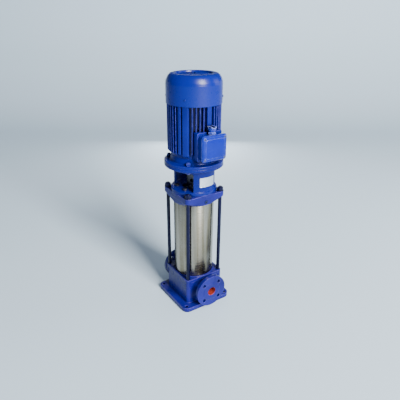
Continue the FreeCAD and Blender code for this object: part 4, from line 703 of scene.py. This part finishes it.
# Motor stool
# An iron ring on the head, two curved cheeks over the outlet and inlet sides, and a broad flange that carries
# the motor. The two windows between the cheeks let a hand reach the coupling.
stool_paint = enamel("stool_paint", deep=(0.001, 0.004, 0.11), bright=(0.003, 0.009, 0.22),
                     edge_highlight_colour=(0.10, 0.11, 0.50), grain=300, relief=0.0003)
stool_low, stool_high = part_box("motor_stool")
stool_inner = 0.050
ring_top = 0.560
cheek_outer = 0.095
cheek_inner = 0.085
carrier_low = 0.657
spigot_radius = 0.0905
spigot_floor = 0.6645
window_high = 0.642
window_edge = radians(34)
stool_bolt_ways = around(0.072, (65, 115, 245, 295))
motor_bolt_ways = around(0.1075, diagonals)
motor_bolt_hole = 0.007
stool = spin("stool", eased([
    (stool_inner, stool_low.z, 0.001), (base_radius, stool_low.z, 0.001), (base_radius, 0.5585, 0.0015),
    (cheek_outer, 0.5605, 0.0015), (cheek_outer, 0.653, 0.003), (cheek_outer + 0.002, carrier_low, 0.0015),
    (stool_high.x, carrier_low, 0.002), (stool_high.x, stool_high.z, 0.0015),
    (spigot_radius, stool_high.z, 0.001), (spigot_radius, spigot_floor, 0),
    (cheek_inner, spigot_floor, 0.001), (cheek_inner, ring_top, 0.002), (stool_inner, ring_top, 0.001)]), 160)


def window_cutter(name, way):
    """The gap between the cheeks, as a block bent round the axis, with its upper corners round."""
    wide = (pi / 2 - window_edge) * cheek_outer
    flat = eased([(-wide, ring_top, 0.003), (wide, ring_top, 0.003),
                  (wide, window_high, 0.009), (-wide, window_high, 0.009)], 6)
    flat = [point for low, high in zip(flat, flat[1:] + flat[:1]) for point in
            [(low[0] + (high[0] - low[0]) * k / 16, low[1] + (high[1] - low[1]) * k / 16) for k in range(16)]]
    rings = [[(radius * sin(x / cheek_outer), radius * cos(x / cheek_outer), z) for x, z in flat]
             for radius in (0.060, 0.110)]
    return skin(name, rings, [way])


def fan_capped(piece):
    """Split the many-sided end faces of a bent block into triangles."""
    shell = bmesh.new()
    shell.from_mesh(piece.data)
    bmesh.ops.triangulate(shell, faces=[face for face in shell.faces if len(face.verts) > 4])
    shell.to_mesh(piece.data)
    shell.free()
    return piece


stool_hollows = [fan_capped(window_cutter("window", way)) for way in both_ways]
stool_hollows.append(drum("motor_bolt_holes", motor_bolt_hole, 0.64, 0.68, motor_bolt_ways, 48))
stool_hollows.append(drum("stool_bolt_holes", 0.0053, 0.53, 0.57, stool_bolt_ways, 48))
combine(stool, stool_hollows, "DIFFERENCE")
cast(stool, 0.0011, 4, 0.35, "motor_stool")
shade(stool, stool_paint)
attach(stool, "pump_body")
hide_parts("motor_stool")

# Plate on the front cheek
# A thin aluminium plate bent to the cheek, with a raised rim round a bare middle. Four small rivets hold it.
plate_aluminium = start_finish("plate_aluminium", 1.0, 0.35)
plate_tone = steps_of(plate_aluminium, speckle(plate_aluminium, 120, 4, (1, 1, 6)),
                      [(0.3, (0.62, 0.66, 0.72)), (0.7, (0.82, 0.85, 0.88))])
plate_gloss = steps_of(plate_aluminium, speckle(plate_aluminium, 60, 4), [(0.3, 0.28), (0.7, 0.5)])
plate_grain = grain_relief(plate_aluminium, speckle(plate_aluminium, 400, 3, (1, 1, 8)), 0.0001, 0.3)
wire(plate_aluminium, Base_Color=plate_tone, Roughness=plate_gloss, Normal=plate_grain)
plate_low, plate_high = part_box("nameplate")
plate_back = 0.095025
plate_front = plate_high.x
plate_sweep = radians(22)
plate_turn = radians(4)
plate_corner = 0.003
rim_wide = 0.0022
rim_raise = 0.0003
columns = []
for k in range(61):
    angle = -plate_sweep + 2 * plate_sweep * k / 60
    side = plate_front * (plate_sweep - abs(angle))
    cut_back = plate_corner - (plate_corner ** 2 - max(0, plate_corner - side) ** 2) ** 0.5
    low = plate_low.z + cut_back
    high = plate_high.z - cut_back
    face = plate_front - (rim_raise if side > rim_wide else 0)
    section = [(plate_back, low), (plate_front, low), (plate_front, low + 0.0016), (face, low + 0.0020),
               (face, high - 0.0020), (plate_front, high - 0.0016), (plate_front, high), (plate_back, high)]
    angle += plate_turn
    columns.append([(radius * cos(angle), radius * sin(angle), height) for radius, height in section])
plate = skin("plate", columns)
shade(plate, plate_aluminium)
rivet_ways = [Matrix.Rotation(plate_turn + radians(20 * side), 4, "Z") @ along_x(plate_back, 0, height)
              for side in (-1, 1) for height in (0.586, 0.619)]
rivets = spin("plate_rivets", [(0, 0), (0.0016, 0), (0.0016, 0.0008), (0.0014, 0.0012), (0.0008, 0.00155),
                               (0, 0.0017)], 32, rivet_ways)
shade(rivets, plate_aluminium)
for piece, node in ((plate, "nameplate"), (rivets, "nameplate_rivets")):
    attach(piece, "pump_body")
    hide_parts(node)

# Stool bolts
# Four zinc plated hexagon screws with washers, set inside the windows, hold the stool on the head.
stool_washer = 0.010
stool_washer_top = 0.562
stool_bolt_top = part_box("stool_bolts")[1].z
stool_bolts = spin("stool_bolts", eased([(0, ring_top, 0), (stool_washer, ring_top, 0.0003),
                                         (stool_washer, stool_washer_top, 0.0005), (0, stool_washer_top, 0)],
                                        3), 48, stool_bolt_ways)
stool_bolt_heads = skin("stool_bolt_heads", hexagon_rings(0.016, 0.5618, stool_bolt_top), stool_bolt_ways)
combine(stool_bolts, [stool_bolt_heads])
shade(stool_bolts, bolt_steel, 25)
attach(stool_bolts, "pump_body")
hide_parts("stool_bolts")

# Coupling
# Two cast iron half shells, drawn together by plated screws. They clamp the ends of the pump shaft and the
# motor shaft, and show through the windows of the stool.
coupling_iron = worked("coupling_iron", 1, (0.05, 0.05, 0.055), (0.11, 0.11, 0.12), (0.35, 0.5), 150)
dress(coupling_iron, ["coupling_front", "coupling_rear"])
dress(bolt_steel, ["coupling_bolts"])

# Motor flange
# The motor's lower end shield: a round machined flange that centres in the stool, with a short tapered collar
# on which the ribbed frame stands.
motor_paint = enamel("motor_paint", deep=(0.001, 0.004, 0.11), bright=(0.003, 0.009, 0.21),
                     edge_highlight_colour=(0.14, 0.14, 0.58), grain=320, relief=0.0003)
shield_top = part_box("motor_flange")[1].z
shield_bore = 0.020
shield_low = 0.669
shield_ledge = 0.6815
collar_low_radius = 0.101
collar_top_radius = 0.0955
motor_flange = spin("flange", eased([
    (shield_bore, shield_low, 0), (stool_high.x, shield_low, 0.0015), (stool_high.x, shield_ledge, 0.0025),
    (collar_low_radius, shield_ledge, 0.003), (collar_top_radius, shield_top, 0.001),
    (shield_bore, shield_top, 0)]), 192)
combine(motor_flange, [drum("motor_flange_holes", motor_bolt_hole, 0.66, 0.70, motor_bolt_ways, 48)],
        "DIFFERENCE")
cast(motor_flange, 0.0011, 3, 0.35, "motor_flange")
shade(motor_flange, motor_paint)
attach(motor_flange, "pump_body")
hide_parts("motor_flange")

# Flange bolts and nuts
# Four M12 screws put in from below, with washers and nuts on top. They were painted with the motor.
screw_radius = 0.006
screw_pitch = 0.00125
screw_flats = 0.018
screw_low, screw_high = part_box("flange_bolts")
lock_low, lock_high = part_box("flange_nuts")
lock_washer = 0.0093
lock_washer_top = lock_low.z + 0.0022
head_rings = hexagon_rings(screw_flats, screw_low.z, carrier_low)[::-1]
flange_bolts = skin("flange_screws", head_rings, motor_bolt_ways)
shank = spin("shanks", eased([(0, 0.656, 0), (screw_radius, 0.656, 0), (screw_radius, lock_high.z - 0.002, 0),
                              (0, lock_high.z - 0.002, 0)]), 36, motor_bolt_ways)
tip_rings = thread_rings(screw_radius, lock_high.z - 0.0025, screw_high.z, screw_pitch)
tips = skin("tips", tip_rings, motor_bolt_ways)
combine(flange_bolts, [shank, tips])
shade(flange_bolts, motor_paint, 40)
flange_nuts = skin("flange_lock_nuts", hexagon_rings(screw_flats, lock_low.z + 0.002, lock_high.z, True),
                   motor_bolt_ways)
combine(flange_nuts, [spin("flange_washers", eased([(0, lock_low.z, 0), (lock_washer, lock_low.z, 0.0003),
                                                    (lock_washer, lock_washer_top, 0.0005),
                                                    (0, lock_washer_top, 0)], 3), 48, motor_bolt_ways)])
combine(flange_nuts, [drum("nut_bores", screw_radius + 0.0002, 0.67, 0.70, motor_bolt_ways, 36)],
        "DIFFERENCE")
shade(flange_nuts, motor_paint, 25)
for piece, node in ((flange_bolts, "flange_bolts"), (flange_nuts, "flange_nuts")):
    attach(piece, "pump_body")
    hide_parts(node)

# Motor frame
# An iron cylinder with tapered cooling ribs all round, four smooth pads that carry the cowl, a broad rib
# beside each, a spine at the front and back, and a raised seat for the terminal box on the outlet side.
frame_low = 0.700
frame_high = 0.925
frame_bore = 0.085
frame_root = 0.094
rib_reach = 0.110
rib_start = frame_low + 0.020
pad_start = frame_low + 0.014
pad_top = 0.948
pad_angles = (51, 129, 231, 309)
band_angles = (65, 115, 245, 295)
rib_angles = [half + a for half in (0, 180)
              for a in (13, 21, 29, 37, 74, 82, 90, 98, 106, 143, 151, 159, 167)]


def rib_rings(low, high):
    """A rib that tapers to a round edge, with its lower end rounded off to the frame."""
    root = 0.0026
    tip = 0.0015
    levels = [(low + rise, rib_reach - draw_in) for rise, draw_in in
              ((0, 0.009), (0.0012, 0.005), (0.003, 0.0022), (0.006, 0.0005), (0.009, 0))]
    levels.append((high, rib_reach))
    layers = []
    for height, reach in levels:
        across = [(frame_root - 0.003, -root), (reach - 0.0015, -tip), (reach - 0.0006, -tip * 0.75),
                  (reach, -tip * 0.2), (reach, tip * 0.2), (reach - 0.0006, tip * 0.75),
                  (reach - 0.0015, tip), (frame_root - 0.003, root)]
        layers.append([(x, y, height) for x, y in across])
    return layers


def pad_rings(half, low, high):
    """A smooth raised strip with round edges, which also ends round below."""
    levels = [(low + rise, rib_reach - draw_in) for rise, draw_in in
              ((0, 0.010), (0.0015, 0.005), (0.004, 0.0018), (0.008, 0.0003), (0.012, 0))]
    levels.append((high, rib_reach))
    return [[(x, y, height) for x, y in eased([(frame_root - 0.004, -half, 0), (reach, -half, 0.003),
                                               (reach, half, 0.003), (frame_root - 0.004, half, 0)], 4)]
            for height, reach in levels]


motor_frame = spin("ribbed_frame", [(frame_bore, frame_low), (frame_root, frame_low),
                                    (frame_root, frame_high), (frame_bore, frame_high)], 180)
seat_rings = [rounded_ring(0.058 + grow, 0.0575 + grow, 0.006 + grow, x, 6, (0, 0.7605))
              for x, grow in ((0.062, 0), (0.1105, 0), (0.1115, -0.0004), (0.112, -0.0012))]
combine(motor_frame, [
    skin("ribs", rib_rings(rib_start, frame_high), around(0, rib_angles)),
    skin("bands", pad_rings(0.007, rib_start, frame_high), around(0, band_angles)),
    skin("pads", pad_rings(0.013, pad_start, pad_top), around(0, pad_angles)),
    skin("spines", pad_rings(0.010, pad_start, frame_high), around(0, (0, 180))),
    skin("terminal_seat", seat_rings, [along_x()]),
])
combine(motor_frame, [
    spin("shield_room", [(0.080, frame_high), (0.0938, frame_high), (0.0938, 0.96), (0.080, 0.96)], 180),
    drum("core_room", frame_bore, frame_low - 0.01, frame_high + 0.001, steps=180),
    drum("wire_way", 0.015, 0.07, 0.13, [along_x(0, 0, 0.760)]),
], "DIFFERENCE")
shade(motor_frame, motor_paint)
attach(motor_frame, "pump_body")
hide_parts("motor_frame")

# Motor core and windings
# Stacks of thin steel sheet, pressed into the frame and onto the motor shaft, with copper windings round the
# teeth of the outer one. They keep their shape from the frame.
core_steel = worked("core_steel", 1, (0.16, 0.16, 0.17), (0.28, 0.28, 0.30), (0.4, 0.55), 40, (1, 1, 60))
winding_copper = worked("winding_copper", 1, (0.42, 0.14, 0.04), (0.68, 0.30, 0.12), (0.3, 0.45), 150)
dress(core_steel, ["stator_core", "rotor_core"])
dress(winding_copper, ["stator_windings"])

# Bearings and upper end shield
# Two sealed ball bearings with ground rings carry the motor shaft. The upper one sits in an iron shield,
# which is painted with the frame and held by plated screws.
bearing_steel = worked("bearing_steel", 1, (0.60, 0.60, 0.62), (0.74, 0.74, 0.76), (0.12, 0.22), 150)
dress(bearing_steel, ["bearing_outers", "bearing_inners"])
dress(motor_paint, ["upper_end_shield"])
dress(bolt_steel, ["end_shield_bolts"])

# Cooling fan
# Moulded in black plastic and pressed on the upper end of the motor shaft, under the cowl.
fan_plastic = worked("fan_plastic", 0, (0.02, 0.02, 0.022), (0.05, 0.05, 0.055), (0.4, 0.55), 200)
dress(fan_plastic, ["cooling_fan"])

# Fan cowl
# Deep drawn sheet steel with a round shoulder and a dished top, in which radial slots let the air in. Four
# screws hold it to the corner pads.
cowl_paint = enamel("cowl_paint", deep=(0.0008, 0.007, 0.18), bright=(0.001, 0.009, 0.22),
                    edge_highlight_colour=(0.03, 0.05, 0.40), grain=900, relief=0.00005, edge_highlight_amount=0)
cowl_paint.node_tree.nodes["Principled BSDF"].inputs["Specular IOR Level"].default_value = 0.38
cowl_low, cowl_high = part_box("fan_cowl")
cowl_radius = cowl_high.x
cowl_sheet = 0.0015
rim = 0.074
dish_depth = 0.006
slot_start = 0.016
slot_end = rim - 0.008


def through(points, steps=8):
    """Smooth line through points of a section."""
    spots = [Vector(point) for point in points]
    spots = [2 * spots[0] - spots[1]] + spots + [2 * spots[-1] - spots[-2]]
    line = []
    for before, here, onward, after in zip(spots, spots[1:], spots[2:], spots[3:]):
        for k in range(steps):
            part = k / steps
            first = (onward - before) * part
            second = (2 * before - 5 * here + 4 * onward - after) * part ** 2
            third = (3 * here - before - 3 * onward + after) * part ** 3
            bend = (2 * here + first + second + third) / 2
            line.append((bend.x, bend.y))
    return line + [tuple(spots[-2])]


def cowl_line(inset):
    """Section of the sheet: straight skirt, steep shoulder, flat rim and dish."""
    top = cowl_high.z
    dome = [(cowl_radius, 0.9900), (0.1110, 1.0018), (0.1046, 1.0152), (0.0980, 1.0233), (0.0938, 1.0259),
            (0.0890, top)]
    dome = [(radius - inset, height - inset * part / 5) for part, (radius, height) in enumerate(dome)]
    dish = eased([(0.0870, top - inset, 0), (rim + inset / 2, top - inset, 0.0015),
                  (rim - 0.0015, top - dish_depth - inset, 0.0012), (0, top - dish_depth - inset, 0)])
    return [(cowl_radius - inset, cowl_low.z)] + through(dome) + dish


fan_cowl = spin("cowl", cowl_line(0) + cowl_line(cowl_sheet)[::-1], 192)
slot_outline = eased([(slot_start, -0.0013, 0.0011), (slot_end, -0.0046, 0.004), (slot_end, 0.0046, 0.004),
                      (slot_start, 0.0013, 0.0011)], 5)
slots = skin("grille_slots", [[(x, y, height) for x, y in slot_outline] for height in (1.012, 1.035)],
             around(0, [18 * i for i in range(20)]))
combine(fan_cowl, [slots], "DIFFERENCE")
shade(fan_cowl, cowl_paint, 8)
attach(fan_cowl, "pump_body")
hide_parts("fan_cowl")

# Cowl screws
# Four steel screws with round heads and a cross recess, put through the skirt of the cowl into the pads and
# painted over with it.


def headed_screws(name, head, tall, shank, depth, ways):
    """Round headed screws, seated at the origin of each way with the head along its Z axis."""
    screws = spin(name, eased([(0, -depth, 0), (shank, -depth, 0.0004), (shank, 0, 0), (head, 0, 0.0002),
                               (head * 0.9, tall, head * 0.35), (0, tall, 0)], 5), 40, ways)
    arm = head * 0.5
    web = head * 0.11
    cross = [(arm, -web), (arm, web), (web, web), (web, arm), (-web, arm), (-web, web),
             (-arm, web), (-arm, -web), (-web, -web), (-web, -arm), (web, -arm), (web, -web)]
    recess = skin(name + "_recess", [[(x, y, height) for x, y in cross]
                                     for height in (tall * 0.5, tall * 1.2)], ways)
    return combine(screws, [recess], "DIFFERENCE")


cowl_screw_height = 0.940
cowl_screw_ways = [Matrix.Rotation(radians(a), 4, "Z") @ along_x(cowl_radius, 0, cowl_screw_height)
                   for a in pad_angles]
cowl_screws = headed_screws("cowl_screw_set", 0.0045, 0.0025, 0.002, 0.014, cowl_screw_ways)
shade(cowl_screws, cowl_paint)
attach(cowl_screws, "pump_body")
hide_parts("cowl_screws")

# Terminal box with lid
# A cast box screwed to the seat on the frame, and a lid with broad bevels and a raised middle on a rubber
# gasket. Four screws in its corners hold the lid.
# Its pale edge colour paints the highlight on the bevels of the lid and box.
box_paint = enamel("box_paint", deep=(0.001, 0.008, 0.19), bright=(0.002, 0.011, 0.28),
                   edge_highlight_colour=(0.30, 0.38, 0.95), grain=500, relief=0.0002, brink=0.007)
box_low, box_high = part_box("terminal_box")
box_middle = 0.760
box_half_y = box_high.y
box_half_z = box_middle - box_low.z
box_corner = 0.010
box_wall = 0.004
gland_way = Matrix.Translation((0.126, 0, 0))
boss_outer = 0.013


def box_ring(x, inset, corner=box_corner, half_y=box_half_y, half_z=box_half_z, middle=box_middle):
    ring = rounded_ring(half_y - inset, half_z - inset, corner - inset, 0, 8, (0, middle))
    return [(x, y, z) for y, z, nothing in ring]


terminal_box = skin("connection_box", [
    box_ring(box_low.x, 0.0012), box_ring(box_low.x + 0.0004, 0.0004), box_ring(box_low.x + 0.0012, 0),
    box_ring(box_high.x - 0.001, 0), box_ring(box_high.x, 0.0008)])
combine(terminal_box, [spin("gland_boss", eased([(0, 0.805, 0), (boss_outer, 0.805, 0),
                                                 (boss_outer, box_high.z, 0.0008), (0, box_high.z, 0)]),
                            64, [gland_way])])
combine(terminal_box, [
    skin("box_room", [box_ring(box_low.x + box_wall, box_wall), box_ring(box_high.x + 0.01, box_wall)]),
    drum("wire_hole", 0.015, 0.10, 0.13, [along_x(0, 0, box_middle)]),
    drum("gland_hole", 0.0082, 0.79, 0.82, [gland_way]),
], "DIFFERENCE")
shade(terminal_box, box_paint)
lid_low, lid_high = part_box("terminal_lid")
lid_middle = (lid_low.z + lid_high.z) / 2
lid_half_z = (lid_high.z - lid_low.z) / 2
lid_corner = 0.011
lid_step = lid_high.x - 0.002
panel_half_y = 0.044
panel_half_z = 0.038


def lid_ring(x, inset):
    return box_ring(x, inset, lid_corner, lid_high.y, lid_half_z, lid_middle)


def panel_ring(x, inset):
    return box_ring(x, inset, lid_corner, panel_half_y, panel_half_z, box_middle)


terminal_lid = skin("box_lid", [
    lid_ring(lid_low.x, 0.0006), lid_ring(lid_low.x + 0.0006, 0), lid_ring(lid_step - 0.0063, 0),
    lid_ring(lid_step - 0.0054, 0.0003), lid_ring(lid_step - 0.0006, 0.0052), lid_ring(lid_step, 0.0064),
    panel_ring(lid_step, -0.0012), panel_ring(lid_step + 0.0004, -0.0003),
    panel_ring(lid_high.x - 0.0004, 0.0008), panel_ring(lid_high.x, 0.0018)])
screw_spots = [(side * 0.047, height) for side in (-1, 1) for height in (0.719, 0.801)]
screw_ways = [along_x(0, y, z) for y, z in screw_spots]
combine(terminal_lid, [drum("screw_holes", 0.0028, 0.130, 0.16, screw_ways, 48)], "DIFFERENCE")
shade(terminal_lid, box_paint, 28)
for piece, node in ((terminal_box, "terminal_box"), (terminal_lid, "terminal_lid")):
    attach(piece, "pump_body")
    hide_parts(node)
lid_screws = headed_screws("lid_screw_set", 0.004, 0.002, 0.0025, 0.018,
                           [along_x(lid_step, y, z) for y, z in screw_spots])
shade(lid_screws, bolt_steel)
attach(lid_screws, "pump_body")
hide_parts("lid_screws")

# Terminal board with studs
# A brown moulded board on the floor of the box, with brass studs to which the wires of motor and mains are
# screwed. Both keep their shape from the frame.
board_plastic = worked("board_plastic", 0, (0.05, 0.025, 0.012), (0.10, 0.05, 0.03), (0.35, 0.5), 200)
stud_brass = worked("stud_brass", 1, (0.60, 0.42, 0.14), (0.75, 0.58, 0.26), (0.2, 0.35), 150)
dress(board_plastic, ["terminal_board"])
dress(stud_brass, ["terminal_studs"])

# Cable gland and clamp
# A screwed hexagon gland with a round mouth on top of the box, and two flat clamp bars set over it, drawn
# together by two screws. All but the screws was painted with the box.
gland_low, gland_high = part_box("cable_gland")
gland_flats = 0.027
gland_bore = 0.007
gland_tail = 0.0078
mouth_low = 0.0129
mouth_high = 0.0155
gland = skin("gland", hexagon_rings(gland_flats, box_high.z, 0.8205, True), [gland_way])
combine(gland, [
    spin("gland_mouth", eased([(0, 0.8195, 0), (mouth_low, 0.8195, 0), (0.0145, 0.8290, 0.001),
                               (mouth_high, 0.8297, 0.0005), (mouth_high, gland_high.z, 0.001),
                               (0, gland_high.z, 0)], 4), 72, [gland_way]),
    drum("gland_tail", gland_tail, gland_low.z, 0.814, [gland_way], 48),
])
combine(gland, [drum("gland_bore", gland_bore, 0.79, 0.85, [gland_way], 48)], "DIFFERENCE")
shade(gland, box_paint, 28)
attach(gland, "pump_body")
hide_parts("cable_gland")

clamp_rings = [rounded_ring(0.015 - inset, 0.00275 - inset, 0.0016 - inset, height, 4)
               for height, inset in ((0.838, 0.0006), (0.8385, 0), (0.8424, 0), (0.843, 0.0008))]
clamp_ways = [gland_way @ Matrix.Translation((0, y, 0)) for y in (-0.00975, 0.00975)]
clamp = skin("clamp_bars", clamp_rings, clamp_ways)
shade(clamp, box_paint, 50)
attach(clamp, "pump_body")
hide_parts("gland_clamp")
clamp_screw_ways = [gland_way @ Matrix.Translation((x, -0.0125, 0.8405)) @ Matrix.Rotation(pi / 2, 4, "X")
                    for x in (-0.011, 0.011)]
clamp_screws = headed_screws("clamp_screw_set", 0.003, 0.0023, 0.0018, 0.026, clamp_screw_ways)
shade(clamp_screws, bolt_steel)
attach(clamp_screws, "pump_body")
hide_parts("gland_screws")
